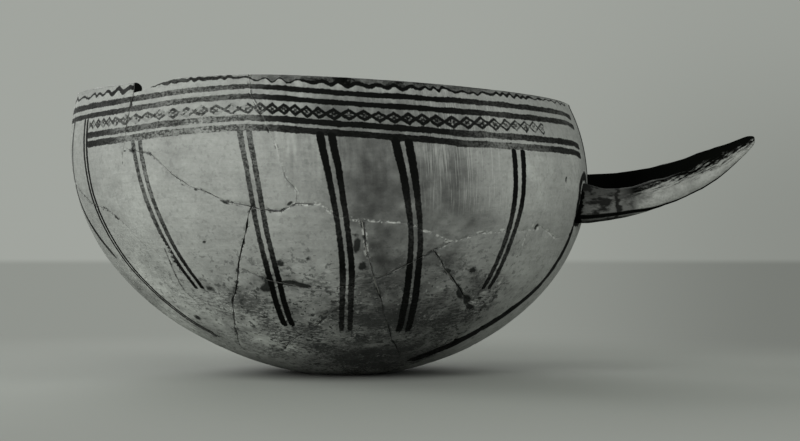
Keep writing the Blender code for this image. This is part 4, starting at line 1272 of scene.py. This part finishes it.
    # Inside and on the breaks
    insideTone = w.add(0.72, w.times(broad, 0.30), w.times(middle, 0.16), w.times(level, 0.12),
                       w.times(grain, 0.08))
    inside = w.shaded(finish["inside"], insideTone)
    inside = w.mixed(w.times(w.ease(w.add(clump, w.times(w.less(mottle, 0.5), 0.5)), 0.45, 1.10), 0.26),
                     inside, finish["slipDark"])
    inside = w.mixed(w.times(nearJoin, w.ease(patchy, 0.5, 0.7), 0.5), inside, finish["slipPale"])
    # Black on the broken end beside the missing flake: a stain, and partly painted shade
    black = w.times(w.ease(stainAndPaintedShade, 0.1, 0.3), w.ease(kind, 0.6, 1.0))
    breakTone = w.add(0.25, w.times(speck, 0.5), w.times(grain, 0.3))
    colour = w.mixed(w.ease(kind, 0.4, 0.7), outer, inside)
    colour = w.mixed(w.ease(kind, 1.2, 1.6), colour, w.shaded(finish["clay"], breakTone))
    colour = w.mixed(black, colour, finish["paint"])

    roughness = w.less(w.add(0.62, w.times(middle, 0.12), w.times(bare, 0.15)), w.times(covered, 0.08))
    height = w.add(w.times(middle, 0.45), w.times(grain, 0.20), w.times(bare, -0.6), w.times(level, 0.22),
                   w.times(covered, 0.06), w.times(w.ease(kind, 1.2, 1.6), w.times(speck, 1.2)))
    w.feed(w.shader.inputs["Specular IOR Level"],
           w.less(0.22, w.times(w.most(w.most(covered, dark), black), 0.19)))
    return w.finishWith(colour, roughness, height, 0.00022)


# The handle's paint: dark zones by the way along the arm, the height on its section and the face it is on.
def makeHandleFinish():
    w = Wiring("paintedHandle")
    along, height, face = w.parts("handlePlace")
    kind, side = w.parts("handleSkin")[:2]
    place = w.place()
    broad, middle = w.cloud(place, 90, 4, 0.6), w.cloud(w.scaled(place, (0.45, 1, 1.3)), 330, 4, 0.65)
    fine, fleck = w.cloud(place, 1100, 2), w.cloud(w.scaled(place, (0.5, 1, 1.2)), 800, 3, 0.7)
    sooty = w.ease(w.add(along, w.times(w.less(middle, 0.5), 9.0), w.times(height, -5.0)), 97, 116, 0.36, 1.0)
    clay = w.shaded(finish["handle"], w.times(
        sooty, w.add(0.66, w.times(broad, 0.30), w.times(middle, 0.34), w.times(fine, 0.14))))
    streaks = w.cloud(w.scaled(w.joined(along, w.times(height, 6.0), w.times(face, 3.0)), (0.16, 0.8, 0.5)),
                      1.3, 5, 0.72)
    # Black inside the fork, as paint and partly as painted shade between the arms, and on top, brushed out
    # down the outer face, black at the tip
    limit = w.add(w.ease(along, 97, 111, 0.0, 0.42), w.ease(along, 116, 138, 0.0, -0.50),
                  w.ease(along, 144, 151, 0.0, -0.30))
    down = w.add(height, w.times(w.less(streaks, 0.5), 1.1), w.times(w.less(middle, 0.5), 0.35))
    upperZone = w.ease(w.less(down, limit), -0.25, 0.48)
    upperZone = w.times(upperZone, w.ease(along, 97, 103, 0.55, 1.0))
    # Inside the fork: paint, and painted shade between the arms
    insideFork = w.ease(face, 0.12, -0.10)
    rootZone = w.times(
        w.ease(along, 99.5, 94),
        w.ease(w.add(w.times(middle, 0.8), w.times(broad, 0.5), w.times(height, 0.14)), 0.34, 0.88), 0.92)
    breakZone = w.ease(w.size(w.add(along, w.times(middle, 2.2), -97.2)), 1.5, 0.5)
    besideBreak = w.times(w.ease(w.size(w.less(along, 100.5)), 4.0, 1.0),
                          w.ease(w.add(broad, w.times(middle, 0.8), w.times(height, 0.2)), 0.25, 0.85), 0.80)
    collar = w.ease(w.less(w.add(along, w.times(w.less(middle, 0.5), 1.5)),
                           w.add(83.2, w.times(w.add(height, 1.0), 0.5))), 0.3, -0.3)
    lineHeight = w.add(w.ease(along, 99, 112, -0.66, -0.90), w.ease(along, 112, 125, 0.0, -0.03))
    lowLine = w.times(
        w.ease(w.less(w.size(w.less(height, lineHeight)), w.ease(along, 100, 120, 0.12, 0.10)), 0.04, -0.04),
        w.ease(face, -0.1, 0.05))
    lowEdge = w.times(w.ease(height, -0.74, -0.90, 0.0, 1.0), w.ease(along, 108, 97),
                      w.ease(middle, 0.15, 0.5, 0.6, 1.0))
    covered = w.most(
        w.most(insideFork, upperZone),
        w.most(rootZone, w.most(collar, w.most(besideBreak, w.times(breakZone, 0.9)))))
    covered = w.most(covered, w.most(lowLine, w.times(lowEdge, 0.9)))
    tipWorn = w.times(w.ease(along, 147.5, 149.5), w.ease(fleck, 0.55, 0.72), w.ease(height, 0.6, 0.1), 0.7)
    # Painted highlight: the paint is thinned to a pale line along the near arm's upper edge, where light
    # catches it
    topEdge = w.times(w.ease(height, 0.90, 0.985), w.ease(face, -0.35, 0.0), w.ease(face, 0.75, 0.45),
                      w.ease(along, 121, 112), w.ease(along, 97, 101), w.ease(side, 0.2, -0.2))
    covered = w.times(covered, w.less(1.0, w.times(topEdge, 0.16)), w.less(1.0, tipWorn))
    colour = w.mixed(covered, clay, finish["paint"])
    colour = w.mixed(w.ease(kind, 0.2, 0.6), colour, finish["clay"])
    roughness = w.less(w.add(0.62, w.times(middle, 0.12)), w.times(covered, 0.06))
    w.feed(w.shader.inputs["Specular IOR Level"], w.less(0.20, w.times(covered, 0.20)))
    height = w.add(w.times(middle, 0.7), w.times(fine, 0.3), w.times(covered, 0.1))
    return w.finishWith(colour, roughness, height, 0.00025)


# Making it

makeCamera()
makeLights()
print("camera and lights ready")
materials = {
    "slip": makeSlip("paintedSlip", finish["slip"], 1.0),
    "filler": makeSlip("paleFiller", finish["filler"], 0.9), "handle": makeHandleFinish(),
}
print("finishes ready")
for sherdName, sherdSides in sherds.items():
    made = makeSherd(sherdName, sherdSides)
    print("sherd", sherdName, len(made.data.polygons), "faces")
makeFoot()
makeFiller()
print("foot and filler ready")
makeHandlePiece("handle_near_root", -1.0, -handle["mendTurn"] - handle["mendGap"], False, True)
makeHandlePiece("handle", -handle["mendTurn"], 1.0, True, False)
print("handle ready")


# Table and backdrop


# A sheet that runs along the table and turns up at its far edge through a quarter circle.
def makeTable():
    cove, depth, near = room["cove"], room["depth"], -room["near"]
    angle = np.linspace(0, math.pi / 2, 9)
    y = np.concatenate([[near, -0.5, 0.5], depth - cove + cove * np.sin(angle), [depth]])
    z = np.concatenate([[0, 0, 0], cove - cove * np.cos(angle), [room["height"]]])
    x = np.linspace(-room["side"], room["side"], 5)
    points = np.stack([np.repeat(x, len(y)), np.tile(y, 5), np.tile(z, 5)], axis=1)
    index = np.arange(5 * len(y)).reshape(5, len(y))
    mesh = bpy.data.meshes.new("table")
    mesh.from_pydata(points.tolist(), [], gridFaces(index).tolist())
    mesh.shade_smooth()
    w = Wiring("tableAndBackdrop")
    split = w.nodes.new("ShaderNodeSeparateXYZ")
    w.links.new(w.place(), split.inputs[0])
    x, y, z = split.outputs
    away = w.math("SQRT", w.add(w.times(x, x), w.times(y, y)))
    # Painted shadow: the table's colour is darkened to 0.3 of itself at the foot, fading out by 6 cm away
    tableWithPaintedShadow = w.shaded(room["table"], w.ease(away, 0.012, 0.060, 0.30, 1.0))
    w.feed(w.shader.inputs["Base Color"], w.mixed(w.ease(z, 0.0, 0.045), tableWithPaintedShadow, room["backdrop"]))
    w.shader.inputs["Roughness"].default_value = 0.9
    w.shader.inputs["Specular IOR Level"].default_value = 0.1
    # Far from the bowl the sheet shows its plain tone to the camera, with painted shade that makes it a
    # little darker towards the low right
    paintedShadeLowRight = w.times(w.ease(x, 0.1, 0.95), w.ease(z, 0.55, 0.05, 0.35, 1.0))
    wallTone = w.mixed(paintedShadeLowRight, room["backdrop"], room["backdropShadedLow"])
    sideways = w.math("DIVIDE", x, w.most(w.add(y, 0.7), 0.25))
    paintedShadeRight = w.times(w.ease(sideways, 0.07, 0.24), w.ease(y, -0.35, 0.20))
    farTone = w.mixed(w.ease(z, 0.0, 0.014), w.mixed(paintedShadeRight, room["tableLeft"], room["tableShadedRight"]), wallTone)
    plain, path, pick = (w.nodes.new("ShaderNode" + kind) for kind in ("Emission", "LightPath", "MixShader"))
    w.feed(plain.inputs["Color"], farTone)
    seen = w.most(w.most(path.outputs["Is Camera Ray"], path.outputs["Is Glossy Ray"]),
                  path.outputs["Is Transmission Ray"])
    w.feed(pick.inputs[0], w.times(seen, w.ease(away, 0.10, 0.32)))
    w.links.new(w.shader.outputs[0], pick.inputs[1])
    w.links.new(plain.outputs[0], pick.inputs[2])
    w.links.new(pick.outputs[0], w.nodes["Material Output"].inputs["Surface"])
    mesh.materials.append(w.material)
    sheet = bpy.data.objects.new("table", mesh)
    scene.collection.objects.link(sheet)


makeTable()
